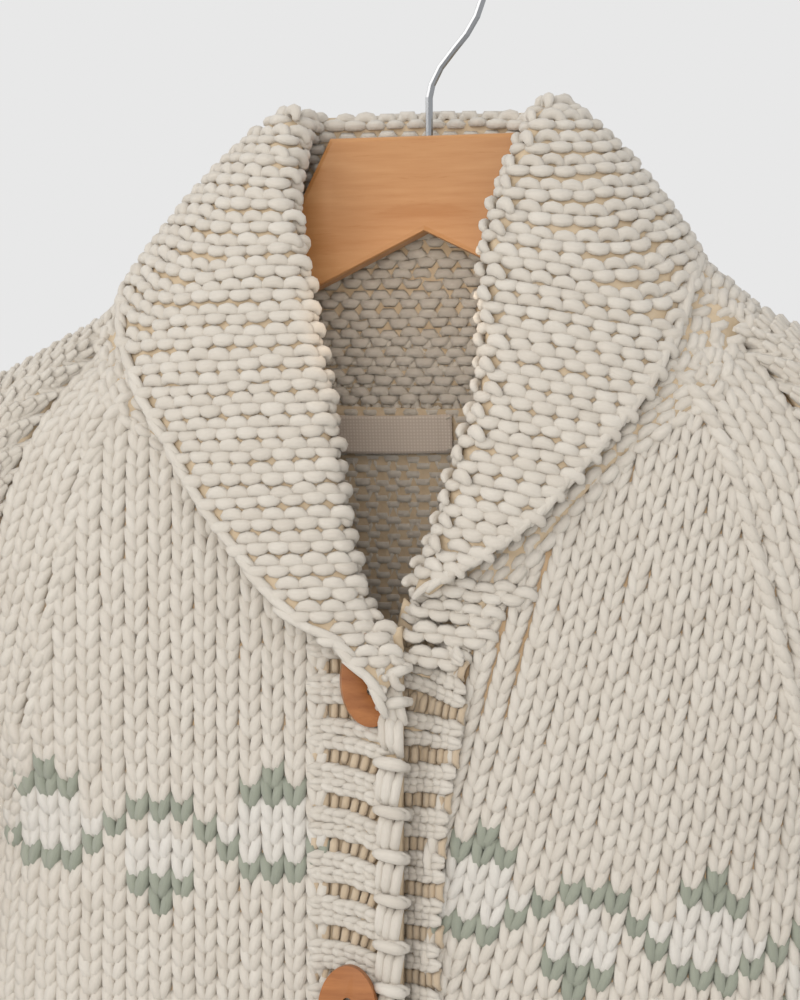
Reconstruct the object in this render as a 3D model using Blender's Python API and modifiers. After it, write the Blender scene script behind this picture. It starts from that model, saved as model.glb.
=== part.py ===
"""A hand-knitted shawl-collar cardigan hanging on a wooden hanger.

Sizes are in millimetres in the tables and turned to metres when a mesh is made.
Origin: the inner top of the hook, where a rod carries it. +Z is up, -Y is the garment's front,
and -X is the wearer's right, which is the front that lies on top.
"""

import math

import bmesh
import bpy
import numpy as np

MM = 0.001

# Cloth and seams
CLOTH = 5.0
COLLAR_CLOTH = 5.6
SEAM_GAP = 0.3
OPPOSED = 0.3
COLLAR_GAP = 1.6
RAGLAN_GAP = 0.5

# Hanger
HANGER_TOP = -87.0
BOARD = 13.0
BOARD_EDGE_ROUND = 2.2
BOARD_STRIPS = (-150, -115, -80, -40, 40, 80, 115, 150)
ARM_FORWARD = 0.00032
HOOK_WIRE = 1.65
HOOK_RADIUS = 25.0

# Garment heights
ARMPIT = -395.0
RAGLAN_TOP = -180.0
NECK_END = -306.0
RIB_TOP = -718.0
HEM = -777.0

# Ribs of the welt, the cuffs and the front bands
RIB_PITCH = 19.0
RIB_RELIEF = 2.6
WELT_COLUMNS = 32
BAND_TOP = -304.0
BAND_SLANT = 12.0
BAND_RIB_PITCH = 18.3
BAND_RELIEF = 2.4
OVER_FREE_X = 6.0
OVER_TOP_RISE = 9.0
UNDER_TOP_RISE = 19.0
UNDER_FREE_X = -16.0
UNDER_TOP_X = 2.0
BAND_TOP_LENGTH = 45.0
BAND_HEM_LENGTH = 60.0
UNDER_DEPTH = 6.6
OVER_LIFT = 4.5
OVER_SHARES = (0, 0.4, 0.79, 0.84, 0.92, 1.0)
OVER_LIP = (0, 0, 0, 4.5, 6.0, 3.5)
UNDER_SHARES = (0, 0.28, 0.7, 1.0)
UNDER_RIB = (1, 1, 0.5, 0)

# Toggle buttons
BUTTON_WIDTH = 25.0
BUTTON_HEIGHT = 39.0
BUTTON_THICK = 4.4
BUTTON_X = -17.0
BUTTON_OUT = 10.0
BUTTON_TOP = -323.5
BUTTON_PITCH = 131.5
BUTTON_HOLE = 2.0
BUTTON_HOLE_APART = 9.0
BUTTON_EDGE_ROUND = 1.3

# Label sewn inside the back neck
LABEL_WIDTH = 58.0
LABEL_HEIGHT = 17.0
LABEL_THICK = 0.8
LABEL_TOP = -206.5
LABEL_LEFT = -50.0

# The body, a row for each height. The seam is the raglan above the armpit and the side seam below.
# columns: z, seam x, seam y in front, seam y at the back, depth in front, depth at the back, turn in degrees
BODY = np.array([
    (-180, 139.0, -27, 14, 46, 28, 62),
    (-203, 158.0, -36, 23, 52, 33, 64),
    (-228, 171.5, -41, 29, 55, 37, 66),
    (-265, 182.0, -43, 31, 57, 40, 69),
    (-306, 191.0, -38, 28, 58, 42, 70),
    (-345, 197.0, -28, 21, 59, 44, 70),
    (-395, 201.0, 0, 0, 59, 45, 72),
    (-450, 204.0, 0, 0, 58, 46, 82),
    (-540, 210.0, 0, 0, 57, 46, 86),
    (-640, 213.0, 0, 0, 55, 45, 86),
    (-718, 211.0, 0, 0, 53, 43, 86),
    (-777, 204.0, 0, 0, 51, 41, 86),
])
BODY_FULLNESS = 0.66
ARMPIT_POINT = 24.0
FOLDS_START_ABOVE = 20.0

# Soft drape folds below the chest, a row for each fold
# columns: x of its crest, width, height at the hem, face (-1 front, 1 back)
FOLDS = np.array([
    (-150, 22, 5.0, -1),
    (-96, 24, -4.0, -1),
    (88, 24, -4.0, -1),
    (138, 22, 5.5, -1),
    (-128, 26, 5.0, 1),
    (-52, 30, -5.0, 1),
    (34, 28, 5.5, 1),
    (112, 26, -4.5, 1),
])

# The front neck edge: z and distance from the middle
NECK_FRONT = np.array([
    (-180, 132.5),
    (-197, 131.0),
    (-210, 121.0),
    (-220, 101.0),
    (-237, 83.0),
    (-257, 66.0),
    (-282, 43.0),
    (-306, 25.0),
])

# The inner edge of each front below the neck, where its band begins: z and x
UNDER_EDGE = np.array([(-306, 25.0), (-327, 24.5), (-377, 17.5), (-451, 13.5), (-777, 12.0)])
OVER_EDGE_X = 34.0

# The back neck edge: distance from the middle and z
NECK_BACK = np.array([(0, -204.0), (45, -201.5), (85, -195.0), (118, -186.5), (139, -180.0)])

# Sleeve: the outer line, a row for each raglan height, then the rings under the armpit
# columns: seam z, outer x, outer z, half depth
SLEEVE_CAP = np.array([
    (-180, 139.0, -163.0, 20.6),
    (-192, 153.0, -170.5, 26.5),
    (-203, 166.0, -177.5, 31.0),
    (-216, 180.0, -185.0, 35.0),
    (-228, 195.0, -193.5, 38.0),
    (-245, 212.5, -207.0, 41.0),
    (-265, 231.0, -227.0, 43.5),
    (-285, 247.0, -250.0, 45.0),
    (-306, 261.0, -276.0, 46.0),
    (-325, 270.5, -299.0, 46.6),
    (-345, 279.0, -323.0, 47.0),
    (-370, 288.0, -355.0, 47.4),
    (-395, 294.5, -388.0, 48.0),
])
# columns: inner x, inner z, outer x, outer z, half depth, centre y
SLEEVE_TUBE = np.array([
    (208, -405, 296.5, -399, 48.0, -1),
    (214, -422, 298.5, -417, 47.0, -2),
    (217, -448, 299.5, -445, 45.5, -3),
    (219, -482, 300.0, -480, 43.5, -5),
    (221, -522, 301.0, -521, 42.0, -6),
    (224, -562, 302.0, -562, 40.0, -6),
    (226, -602, 302.5, -602, 37.5, -5),
    (228, -640, 301.5, -640, 34.5, -4),
])
CUFF_TUBE = np.array([
    (231, -641, 299.0, -641, 32.0, -4),
    (234, -655, 297.0, -655, 29.5, -4),
    (235, -685, 297.0, -685, 29.5, -4),
    (235, -707, 298.0, -707, 30.0, -4),
])
# Crease lines of the hanging sleeve
# columns: z, half height, depth, place round the tube (0 front seam, 1 back seam)
SLEEVE_CREASES = np.array([
    (-350, 16, 4.5, 0.16),
    (-448, 15, 4.0, 0.20),
    (-505, 13, 3.5, 0.36),
    (-560, 13, 3.0, 0.24),
    (-470, 16, 4.0, 0.80),
])
CREASE_WIDTH = 0.11

# Shawl collar, a row for each section from the middle of the back to the front tip.
# columns: distance along the neck edge, centre of the fold x y z, free edge x y z
COLLAR_LEFT = np.array([
    (0, 0, 20, -84, 0, 46, -186),
    (45, 26, 20, -83, 50, 45, -182),
    (88, 43, 18, -82, 88, 39, -170),
    (128, 55, 11, -81, 110, 26, -156),
    (158, 57, 2, -81, 118, 8, -146),
    (177, 56, -9, -83, 120, -8, -143),
    (202, 52, -25, -98, 119, -25, -152),
    (222, 47, -37, -118, 115, -39, -171),
    (244, 42, -46, -142, 108, -52, -191),
    (267, 42, -52, -172, 94, -60, -213),
    (293, 41, -55, -204, 77, -64, -232),
    (319, 33, -57, -231, 61, -67, -250),
    (349, 25, -57, -256, 43, -68, -264),
    (368, 17, -57, -271, 30, -66, -272),
    (381, 10, -57, -283, 15, -65, -281),
])
COLLAR_RIGHT = np.array([
    (0, 0, 20, -84, 0, 46, -186),
    (45, -27, 20, -83, -50, 45, -182),
    (88, -45, 18, -82, -88, 39, -171),
    (128, -57, 11, -81, -114, 27, -156),
    (158, -59, 2, -81, -127, 8, -148),
    (177, -58, -9, -83, -130, -8, -146),
    (202, -57, -25, -98, -131, -24, -156),
    (222, -56, -37, -120, -125, -40, -176),
    (244, -50, -47, -147, -114, -53, -198),
    (267, -43, -53, -178, -99, -60, -220),
    (293, -36, -57, -210, -82, -65, -247),
    (319, -31, -58, -243, -63, -69, -270),
    (341, -27, -59, -268, -50, -72, -284),
    (358, -23, -60, -281, -40, -74, -293),
    (372, -17, -61, -294, -27, -75, -301),
])
FOLD_RADIUS = 7.5
COLLAR_STEPS = 5

# The ridge of the shoulder, where the neck seam turns from the front to the back
RIDGE_Y = -7.5
RIDGE_HALF_WIDTH = 13.0
RIDGE_FROM_X = 110.0
RAGLAN_FROM_X = 134.0


def smooth(table, column, at):
    """A column of a table read at a key in column 0, along a cubic through its rows."""
    keys = table[:, 0]
    values = table[:, column]
    if keys[0] > keys[-1]:
        keys = keys[::-1]
        values = values[::-1]
    at = min(max(at, keys[0]), keys[-1])
    slopes = np.gradient(values, keys)
    i = min(int(np.searchsorted(keys, at, side="right")) - 1, len(keys) - 2)
    step = keys[i + 1] - keys[i]
    t = (at - keys[i]) / step
    rise = 3 * t * t - 2 * t * t * t
    start = t * (1 - t) ** 2 * step * slopes[i]
    end = -t * t * (1 - t) * step * slopes[i + 1]
    return values[i] * (1 - rise) + values[i + 1] * rise + start + end


def unit(v):
    length = np.linalg.norm(v, axis=-1, keepdims=True)
    return v / np.maximum(length, 1e-9)


def along(line, shares):
    """Points of a polyline at shares of its length."""
    steps = np.linalg.norm(np.diff(line, axis=0), axis=1)
    travelled = np.concatenate([[0], np.cumsum(steps)])
    wanted = np.asarray(shares) * travelled[-1]
    return np.stack([np.interp(wanted, travelled, line[:, k]) for k in range(3)], axis=-1)


def fold_height(x, z, face):
    """How far the drape folds lift the body outwards at a point."""
    share = min(max((ARMPIT + FOLDS_START_ABOVE - z) / (ARMPIT - HEM), 0), 1)
    lift = 0.0
    for crest, width, height, side in FOLDS:
        if side == face:
            lift += height * share * math.exp(-(((x - crest) / width) ** 2))
    return lift


def seam_depth(face, z):
    """y of the raglan seam at a height, and 0 at the side seam under the armpit."""
    if z <= ARMPIT:
        return 0.0
    y = smooth(BODY, 2 if face < 0 else 3, z)
    return face * max(face * y, 0.0)


def body_curve(face, side, z, samples=48):
    """Half of the body's outline at a height, from the middle to the seam, as a dense polyline.

    face is -1 for the front and 1 for the back, and side is -1 or 1 for x below or above 0.
    """
    seam_x = smooth(BODY, 1, z)
    seam_y = seam_depth(face, z)
    depth = smooth(BODY, 4 if face < 0 else 5, z)
    turn = math.radians(min(smooth(BODY, 6, z), 90.0))
    angles = np.linspace(0, turn, samples)
    upright = np.maximum(np.cos(angles), 0) ** BODY_FULLNESS
    x = side * seam_x * (np.sin(angles) / math.sin(turn)) ** BODY_FULLNESS
    rounding = (1 - upright) / (1 - upright[-1])
    y = face * depth + (seam_y - face * depth) * rounding
    folds = np.array([fold_height(value, z, face) for value in x]) * (1 - rounding)
    return np.stack([x, y + face * folds, np.full(samples, z)], axis=-1)


def body_strip(face, side, z, inner_x, shares):
    """Points along the body's outline from inner_x out to the seam."""
    line = body_curve(face, side, z)
    distance = np.abs(line[:, 0])
    first = np.array([np.interp(inner_x, distance, line[:, k]) for k in range(3)])
    rest = line[distance > inner_x + 0.5]
    return along(np.vstack([first, rest, line[-1:]]), shares)


RAGLAN_ROWS = SLEEVE_CAP[:, 0]
LOWER_ROWS = np.array([-418, -446, -484, -530, -580, -630, -676, RIB_TOP])


def front_inner_x(side, z):
    """Where a front begins: the neck edge above, and the edge of its band below."""
    if side < 0:
        return max(smooth(NECK_FRONT, 1, z) if z > NECK_END else 0, OVER_EDGE_X)
    return smooth(NECK_FRONT, 1, z) if z > NECK_END else smooth(UNDER_EDGE, 1, z)


def front_grid(side, columns=12):
    rows = np.concatenate([RAGLAN_ROWS, LOWER_ROWS])
    shares = np.linspace(0, 1, columns)
    return np.array([body_strip(-1, side, z, front_inner_x(side, z), shares) for z in rows])


def back_grid(columns=10):
    """The back panel from its curved neck edge to the top of the welt."""
    shares = np.linspace(0, 1, columns)
    rows = []
    for z in RAGLAN_ROWS:
        halves = []
        for side in (-1, 1):
            half = []
            for share in shares:
                reach = share * NECK_BACK[-1, 0]
                top = smooth(NECK_BACK, 1, reach)
                level = ARMPIT + (z - ARMPIT) * (top - ARMPIT) / (RAGLAN_TOP - ARMPIT)
                half.append(along(body_curve(1, side, level), [share])[0])
            halves.append(half)
        rows.append(halves[0][::-1] + halves[1][1:])
    for z in LOWER_ROWS:
        left = along(body_curve(1, -1, z), shares)
        right = along(body_curve(1, 1, z), shares)
        rows.append(np.vstack([left[::-1], right[1:]]))
    return np.array([np.asarray(row) for row in rows])


def arch(seam, outer, seam_y, middle_y, half_depth, face, angles, sharpness=0):
    """Half a sleeve section, from its seam on one face to its outermost point.

    seam and outer are (x, z). The section is part of an ellipse that stands on the line between them,
    and sharpness is the least angle, in degrees, at which its two halves meet.
    """
    reach = outer - seam
    distance = np.linalg.norm(reach)
    direction = reach / distance
    seam_off = abs(seam_y - middle_y)
    start = max(math.asin(min(seam_off / half_depth, 1.0)), math.radians(sharpness))
    half_width = distance / (1 + math.cos(start))
    turn = start + (math.pi - start) * angles
    from_outer = half_width * (1 + np.cos(turn))
    place = outer[None, :] - from_outer[:, None] * direction[None, :]
    closing = np.maximum(math.pi / 2 - turn, 0) / (math.pi / 2 - min(start, 1.5))
    off = half_depth * np.sin(turn) - (half_depth * math.sin(start) - seam_off) * closing
    return np.stack([place[:, 0], middle_y + face * off, place[:, 1]], axis=-1)


def crease_depth(z, round_share):
    depth = 0.0
    for middle, half_height, deep, place in SLEEVE_CREASES:
        height = math.exp(-(((z - middle) / half_height) ** 2))
        depth += deep * height * math.exp(-(((round_share - place) / CREASE_WIDTH) ** 2))
    return depth


def sleeve_grid(side, table, columns=17, cap=True):
    """Sections of a sleeve from the neck to the wrist, each from the front seam round to the back seam."""
    half = (columns + 1) // 2
    angles = np.linspace(0, 1, half)
    rows = []
    if cap:
        for z, outer_x, outer_z, half_depth in SLEEVE_CAP:
            seam = np.array([smooth(BODY, 1, z), z])
            outer = np.array([outer_x, outer_z])
            front_y = seam_depth(-1, z)
            back_y = seam_depth(1, z)
            middle = (front_y + back_y) / 2
            front = arch(seam, outer, front_y, middle, half_depth, -1, angles, ARMPIT_POINT)
            back = arch(seam, outer, back_y, middle, half_depth, 1, angles, ARMPIT_POINT)
            rows.append(np.vstack([front, back[-2::-1]]))
    for inner_x, inner_z, outer_x, outer_z, half_depth, middle in table:
        inner = np.array([inner_x, inner_z])
        outer = np.array([outer_x, outer_z])
        front = arch(inner, outer, middle, middle, half_depth, -1, angles)
        back = arch(inner, outer, middle, middle, half_depth, 1, angles)
        rows.append(np.vstack([front, back[-2::-1]]))
    grid = np.array(rows)
    centres = grid.mean(axis=1, keepdims=True)
    inward = unit(centres - grid)
    shares = np.linspace(0, 1, grid.shape[1])
    for r in range(grid.shape[0]):
        for c in range(grid.shape[1]):
            clear_of_seam = min(1, 8 * shares[c] * (1 - shares[c]))
            grid[r, c] += inward[r, c] * crease_depth(grid[r, c, 2], shares[c]) * clear_of_seam
    grid[:, :, 0] *= side
    return grid


def bezier(a, b, c, d, steps):
    t = np.linspace(0, 1, steps)[:, None]
    return a * (1 - t) ** 3 + 3 * b * t * (1 - t) ** 2 + 3 * c * t * t * (1 - t) + d * t**3


def neck_line(side):
    """The neck edge of one half: the back, the top of the sleeve, then the front."""
    back = back_grid()[0]
    middle = len(back) // 2
    half = back[middle:] if side > 0 else back[middle::-1]
    shoulder = sleeve_grid(side, SLEEVE_TUBE)[0][::-1]
    front = front_grid(side)[:, 0]
    return np.vstack([half, shoulder[1:], front[front[:, 2] > NECK_FRONT[-1, 0] - 1]])


def at_distance(line, distance):
    travelled = np.concatenate([[0], np.cumsum(np.linalg.norm(np.diff(line, axis=0), axis=1))])
    return np.array([np.interp(distance, travelled, line[:, k]) for k in range(3)])


def collar_section(seam, fold, edge, path):
    """One section of the collar: up from the neck seam, over the fold and down to the free edge."""
    crest = unit(fold - (seam + edge) / 2)
    outward = unit(np.cross(path, crest))
    if np.dot(outward, edge - seam) < 0:
        outward = -outward
    radius = min(FOLD_RADIUS, 0.3 * np.linalg.norm(fold - edge))
    inner_top = fold - outward * radius
    outer_top = fold + outward * radius
    rise = np.linalg.norm(inner_top - seam)
    fall = np.linalg.norm(outer_top - edge)
    lower = seam + (inner_top - seam) * 0.36
    stand = bezier(seam, lower, inner_top - crest * rise * 0.3, inner_top, COLLAR_STEPS)
    turn = np.linspace(math.pi, 0, 5)[1:-1, None]
    bend = fold + outward * radius * np.cos(turn) + crest * radius * np.sin(turn)
    bulge = outward * fall * 0.06
    lower = edge + (outer_top - edge) * 0.3 + bulge
    drop = bezier(outer_top, outer_top - crest * fall * 0.3 + bulge, lower, edge, COLLAR_STEPS)
    return np.vstack([stand, bend, drop])


def collar_half(side, table):
    """Sections of half the collar, with one between each two rows of its table."""
    line = neck_line(side)
    keyed = np.column_stack([np.arange(len(table)), table])
    places = np.arange(0, len(table) - 0.9, 0.5)
    rows = np.array([[smooth(keyed, k, place) for k in range(1, 8)] for place in places])
    paths = unit(np.gradient(rows[:, 1:4], axis=0))
    return [
        collar_section(at_distance(line, row[0]), row[1:4], row[4:7], path)
        for row, path in zip(rows, paths)
    ]


def collar_grid():
    """The whole collar, from the wearer's right front tip round the back to the left front tip."""
    right = collar_half(-1, COLLAR_RIGHT)
    left = collar_half(1, COLLAR_LEFT)
    return np.array(right[:0:-1] + left)


def rib_wave(position, pitch, height):
    """Height of a two-by-two rib at a distance along it: a flat crest, a flat valley and short slopes."""
    phase = (position / pitch) % 1.0
    return height * min(max(2.2 * math.cos(2 * math.pi * phase) + 0.5, 0.0), 1.0)


def own_normals(grid, outwards):
    """Normals of one grid, all turned the way that most of them face the outward guide."""
    normals = unit(np.cross(np.gradient(grid, axis=1), np.gradient(grid, axis=0)))
    return normals if (normals * outwards).sum() > 0 else -normals


def shared_normals(grids, guides):
    """Outward normals for each grid. Points that grids share at a seam get the mean of their normals.

    Where the sheets at a shared point face each other, as at the armpit, the normal points down.
    """
    sums = {}
    keys = []
    for grid, guide in zip(grids, guides):
        names = [tuple(np.round(p / 0.05).astype(int)) for p in grid.reshape(-1, 3)]
        keys.append(names)
        for name, normal in zip(names, own_normals(grid, guide).reshape(-1, 3)):
            total, count = sums.get(name, (np.zeros(3), 0))
            sums[name] = (total + normal, count + 1)
    found = []
    for names, grid in zip(keys, grids):
        mean = np.array([sums[n][0] / sums[n][1] for n in names])
        weak = np.linalg.norm(mean, axis=1) < OPPOSED
        mean[weak] = (0, 0, -1)
        found.append(unit(mean).reshape(grid.shape))
    return found


def from_middle(grid):
    """An outward guide for a tube: away from the middle of each of its rows."""
    return unit(grid - grid.mean(axis=1, keepdims=True))


def facing(grid, direction):
    return np.zeros_like(grid) + np.asarray(direction, float)


def inset(grid, top=0.0, bottom=0.0, first=0.0, last=0.0):
    """The grid with its top, bottom, first and last edges drawn in along the cloth."""
    moved = grid.copy()
    moved[0] += unit(grid[1] - grid[0]) * top
    moved[-1] += unit(grid[-2] - grid[-1]) * bottom
    for edge, beside, distance in ((0, 1, first), (-1, -2, last)):
        inwards = unit(grid[:, beside] - grid[:, edge])
        seam = unit(np.gradient(grid[:, edge], axis=0))
        square = unit(inwards - seam * (inwards * seam).sum(axis=1, keepdims=True))
        moved[:, edge] += square * distance
    return moved


def add_mesh(name, points, faces, material):
    mesh = bpy.data.meshes.new(name)
    mesh.from_pydata([tuple(p * MM) for p in points], [], faces)
    made = bmesh.new()
    made.from_mesh(mesh)
    bmesh.ops.recalc_face_normals(made, faces=made.faces)
    if made.calc_volume(signed=True) < 0:
        bmesh.ops.reverse_faces(made, faces=made.faces)
    made.to_mesh(mesh)
    made.free()
    mesh.shade_smooth()
    mesh.set_sharp_from_angle(angle=math.radians(50))
    mesh.materials.append(material)
    obj = bpy.data.objects.new(name, mesh)
    PARTS.objects.link(obj)
    return obj


def wall(name, grid, normals, material, thick=CLOTH, relief=None, ring=False):
    """A cloth wall: the grid moved out by half its thickness, and in by half, joined round its edges."""
    rows, columns = grid.shape[:2]
    lift = np.zeros((rows, columns)) if relief is None else relief
    outer = grid + normals * (thick / 2 + lift)[..., None]
    inner = grid - normals * thick / 2
    points = np.vstack([outer.reshape(-1, 3), inner.reshape(-1, 3)])
    behind = rows * columns
    spans = columns if ring else columns - 1
    faces = []
    for r in range(rows - 1):
        for c in range(spans):
            a, b = r * columns + c, r * columns + (c + 1) % columns
            d, e = a + columns, b + columns
            faces.append((a, b, e, d))
            faces.append((behind + a, behind + d, behind + e, behind + b))
    for c in range(spans):
        n = (c + 1) % columns
        last = (rows - 1) * columns
        faces.append((c, behind + c, behind + n, n))
        faces.append((last + c, last + n, behind + last + n, behind + last + c))
    if not ring:
        for r in range(rows - 1):
            for c in (0, columns - 1):
                a = r * columns + c
                b = a + columns
                faces.append((a, b, behind + b))
                faces.append((a, behind + b, behind + a))
    return add_mesh(name, points, faces, material)


def welt_row(face, side, z, inner_x):
    return body_strip(face, side, z, inner_x, np.linspace(0, 1, WELT_COLUMNS))


def welt_relief(grid, pitch, height):
    """Rib heights for a grid whose ribs run down it, from the length along its first row."""
    steps = np.linalg.norm(np.diff(grid[0], axis=0), axis=1)
    travelled = np.concatenate([[0], np.cumsum(steps)])
    waves = np.array([rib_wave(d, pitch, height) for d in travelled])
    relief = np.tile(waves, (grid.shape[0], 1))
    relief[0] *= 0.35
    return relief


def band_point(over, share, z):
    """A point of a front band: share 0 is its seam with the front and 1 its free edge."""
    face = -smooth(BODY, 4, z)
    below = min(max((BAND_TOP - z) / BAND_TOP_LENGTH, 0), 1)
    above_hem = min(max((z - HEM) / BAND_HEM_LENGTH, 0), 1)
    if over:
        x = -OVER_EDGE_X + (OVER_FREE_X + OVER_EDGE_X) * share
        y = face - OVER_LIFT * share**2
        lifted = OVER_TOP_RISE * (1 - below) * share**2
        return np.array([x, y, z + lifted - BAND_SLANT * share**2 * below * above_hem])
    seam_x = smooth(UNDER_EDGE, 1, z)
    free_x = UNDER_TOP_X + (UNDER_FREE_X - UNDER_TOP_X) * below
    lifted = UNDER_TOP_RISE * (1 - below) * share
    y = face + UNDER_DEPTH * min(share / UNDER_SHARES[1], 1)
    return np.array([seam_x + (free_x - seam_x) * share, y, z + lifted])


def make_band(name, over, material):
    """A band of ribs that lie across it. The over band ends in a thick cast-off lip."""
    shares = OVER_SHARES if over else UNDER_SHARES
    rows = np.append(np.arange(BAND_TOP - SEAM_GAP, HEM + 4, -BAND_RIB_PITCH / 3), HEM)
    grid = np.array([[band_point(over, share, z) for share in shares] for z in rows])
    normals = own_normals(grid, facing(grid, (0, -1, 0)))
    waves = np.array([rib_wave(BAND_TOP - z, BAND_RIB_PITCH, BAND_RELIEF) for z in rows])
    relief = np.tile(waves[:, None], (1, len(shares)))
    if over:
        relief += np.array(OVER_LIP)[None, :]
        relief[:, -3:] -= waves[:, None] * 0.6
    else:
        relief *= np.array(UNDER_RIB)[None, :]
    normals[:, 0] = (0, -1, 0)
    half = SEAM_GAP / 2
    wall(name, inset(grid, top=half, first=half), normals, material, relief=relief)


def material(name, rgb, roughness, metallic=0.0):
    made = bpy.data.materials.new(name)
    made.use_nodes = True
    shader = made.node_tree.nodes["Principled BSDF"]
    shader.inputs["Base Color"].default_value = (*rgb, 1.0)
    shader.inputs["Roughness"].default_value = roughness
    shader.inputs["Metallic"].default_value = metallic
    return made


def hanger_outline():
    """The board seen from the front: one half, from the middle of the top edge round to the notch below."""
    top = [(0, 0), (42, 0), (57.5, -31.5), (100, -56), (139, -80), (168, -95.7), (182, -104)]
    tip = [(189, -111), (190.5, -120), (186, -128)]
    under = [(150, -115), (100, -90), (56, -69), (0, -41.5)]
    return [(x, z + HANGER_TOP) for x, z in top + tip + under]


def make_hanger(wood):
    """The board is a flat outline, thickened, cut into strips and bent forward towards its ends."""
    half = hanger_outline()
    mirrored = [(-x, z) for x, z in half[-2:0:-1]]
    outline = half + mirrored
    made = bmesh.new()
    ring = [made.verts.new((x * MM, -BOARD / 2 * MM, z * MM)) for x, z in outline]
    made.faces.new(ring)
    for x in BOARD_STRIPS:
        bmesh.ops.bisect_plane(
            made,
            geom=made.verts[:] + made.edges[:] + made.faces[:],
            plane_co=(x * MM, 0, 0),
            plane_no=(1, 0, 0),
        )
    grown = bmesh.ops.extrude_face_region(made, geom=made.faces[:])
    moved = [v for v in grown["geom"] if isinstance(v, bmesh.types.BMVert)]
    bmesh.ops.translate(made, verts=moved, vec=(0, BOARD * MM, 0))
    bmesh.ops.recalc_face_normals(made, faces=made.faces)
    corners = [
        e for e in made.edges
        if len(e.link_faces) == 2 and abs(e.link_faces[0].normal.dot(e.link_faces[1].normal)) < 0.3
        and abs((e.verts[0].co - e.verts[1].co).y) < 1e-6
    ]
    bmesh.ops.bevel(made, geom=corners, offset=BOARD_EDGE_ROUND * MM, segments=2, profile=0.6, affect="EDGES")
    for v in made.verts:
        v.co.y -= ARM_FORWARD * (v.co.x / MM) ** 2 * MM
    mesh = bpy.data.meshes.new("hanger_board")
    made.to_mesh(mesh)
    made.free()
    mesh.materials.append(wood)
    obj = bpy.data.objects.new("hanger_board", mesh)
    PARTS.objects.link(obj)


def make_hook(steel):
    """The wire: a straight shank, a swan neck to the side, and half a circle over the rod."""
    centre = -(HOOK_RADIUS - HOOK_WIRE)
    points = [(1.0, HANGER_TOP + 0.3), (1.0, HANGER_TOP + 10), (1.0, HANGER_TOP + 17)]
    neck = [(2.2, -64.5), (6.0, -57.0), (12.0, -49.5), (17.5, -43.0), (22.0, -35.5)]
    points += neck
    for degrees in range(-12, 181, 12):
        turn = math.radians(degrees)
        points.append((HOOK_RADIUS * math.cos(turn), centre + HOOK_RADIUS * math.sin(turn)))
    curve = bpy.data.curves.new("hanger_hook", "CURVE")
    curve.dimensions = "3D"
    curve.bevel_depth = HOOK_WIRE * MM
    curve.bevel_resolution = 2
    curve.use_fill_caps = True
    curve.resolution_u = 1
    spline = curve.splines.new("POLY")
    spline.points.add(len(points) - 1)
    for point, (x, z) in zip(spline.points, points):
        point.co = (x * MM, 0, z * MM, 1)
    curve.materials.append(steel)
    PARTS.objects.link(bpy.data.objects.new("hanger_hook", curve))


def make_button(index, x, z, wood):
    """An oval toggle with two thread holes, lying on the over band."""
    bpy.ops.mesh.primitive_cylinder_add(vertices=22, radius=0.5, depth=1)
    button = bpy.context.object
    button.name = f"button_{index}"
    button.data.transform(button.matrix_world)
    for v in button.data.vertices:
        v.co = (v.co.x * BUTTON_WIDTH * MM, v.co.y * BUTTON_HEIGHT * MM, v.co.z * BUTTON_THICK * MM)
    cutters = []
    for side in (-1, 1):
        bpy.ops.mesh.primitive_cylinder_add(vertices=8, radius=BUTTON_HOLE * MM, depth=4 * BUTTON_THICK * MM)
        cutter = bpy.context.object
        cutter.name = f"button_{index}_hole_{side + 2}"
        cutter.data.transform(cutter.matrix_world)
        for v in cutter.data.vertices:
            v.co.y += side * BUTTON_HOLE_APART / 2 * MM
        cutters.append(cutter)
    edge = button.modifiers.new("rounded edge", "BEVEL")
    edge.width = BUTTON_EDGE_ROUND * MM
    edge.segments = 1
    edge.angle_limit = math.radians(50)
    edge.limit_method = "ANGLE"
    for cutter in cutters:
        cut = button.modifiers.new("thread hole", "BOOLEAN")
        cut.operation = "DIFFERENCE"
        cut.object = cutter
        cutter.hide_render = True
        cutter.display_type = "WIRE"
    for obj in [button] + cutters:
        obj.rotation_euler = (math.radians(90), 0, 0)
        obj.location = (x * MM, -(smooth(BODY, 4, z) + BUTTON_OUT) * MM, z * MM)
        for owner in list(obj.users_collection):
            owner.objects.unlink(obj)
    PARTS.objects.link(button)
    for cutter in cutters:
        CUTTERS.objects.link(cutter)
    button.data.materials.append(wood)


def make_label(cotton):
    """A blank woven label laid on the inner face of the back, just under the collar seam."""
    grid = []
    for z in (LABEL_TOP, LABEL_TOP - LABEL_HEIGHT / 2, LABEL_TOP - LABEL_HEIGHT):
        row = []
        for x in np.linspace(LABEL_LEFT, LABEL_LEFT + LABEL_WIDTH, 5):
            side = -1 if x < 0 else 1
            line = body_curve(1, side, z)
            y = np.interp(abs(x), np.abs(line[:, 0]), line[:, 1])
            row.append((x, y - CLOTH / 2 - 2 * SEAM_GAP - LABEL_THICK / 2, z))
        grid.append(row)
    grid = np.array(grid)
    normals = np.zeros_like(grid)
    normals[..., 1] = -1
    wall("label", grid, normals, cotton, thick=LABEL_THICK)


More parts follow.
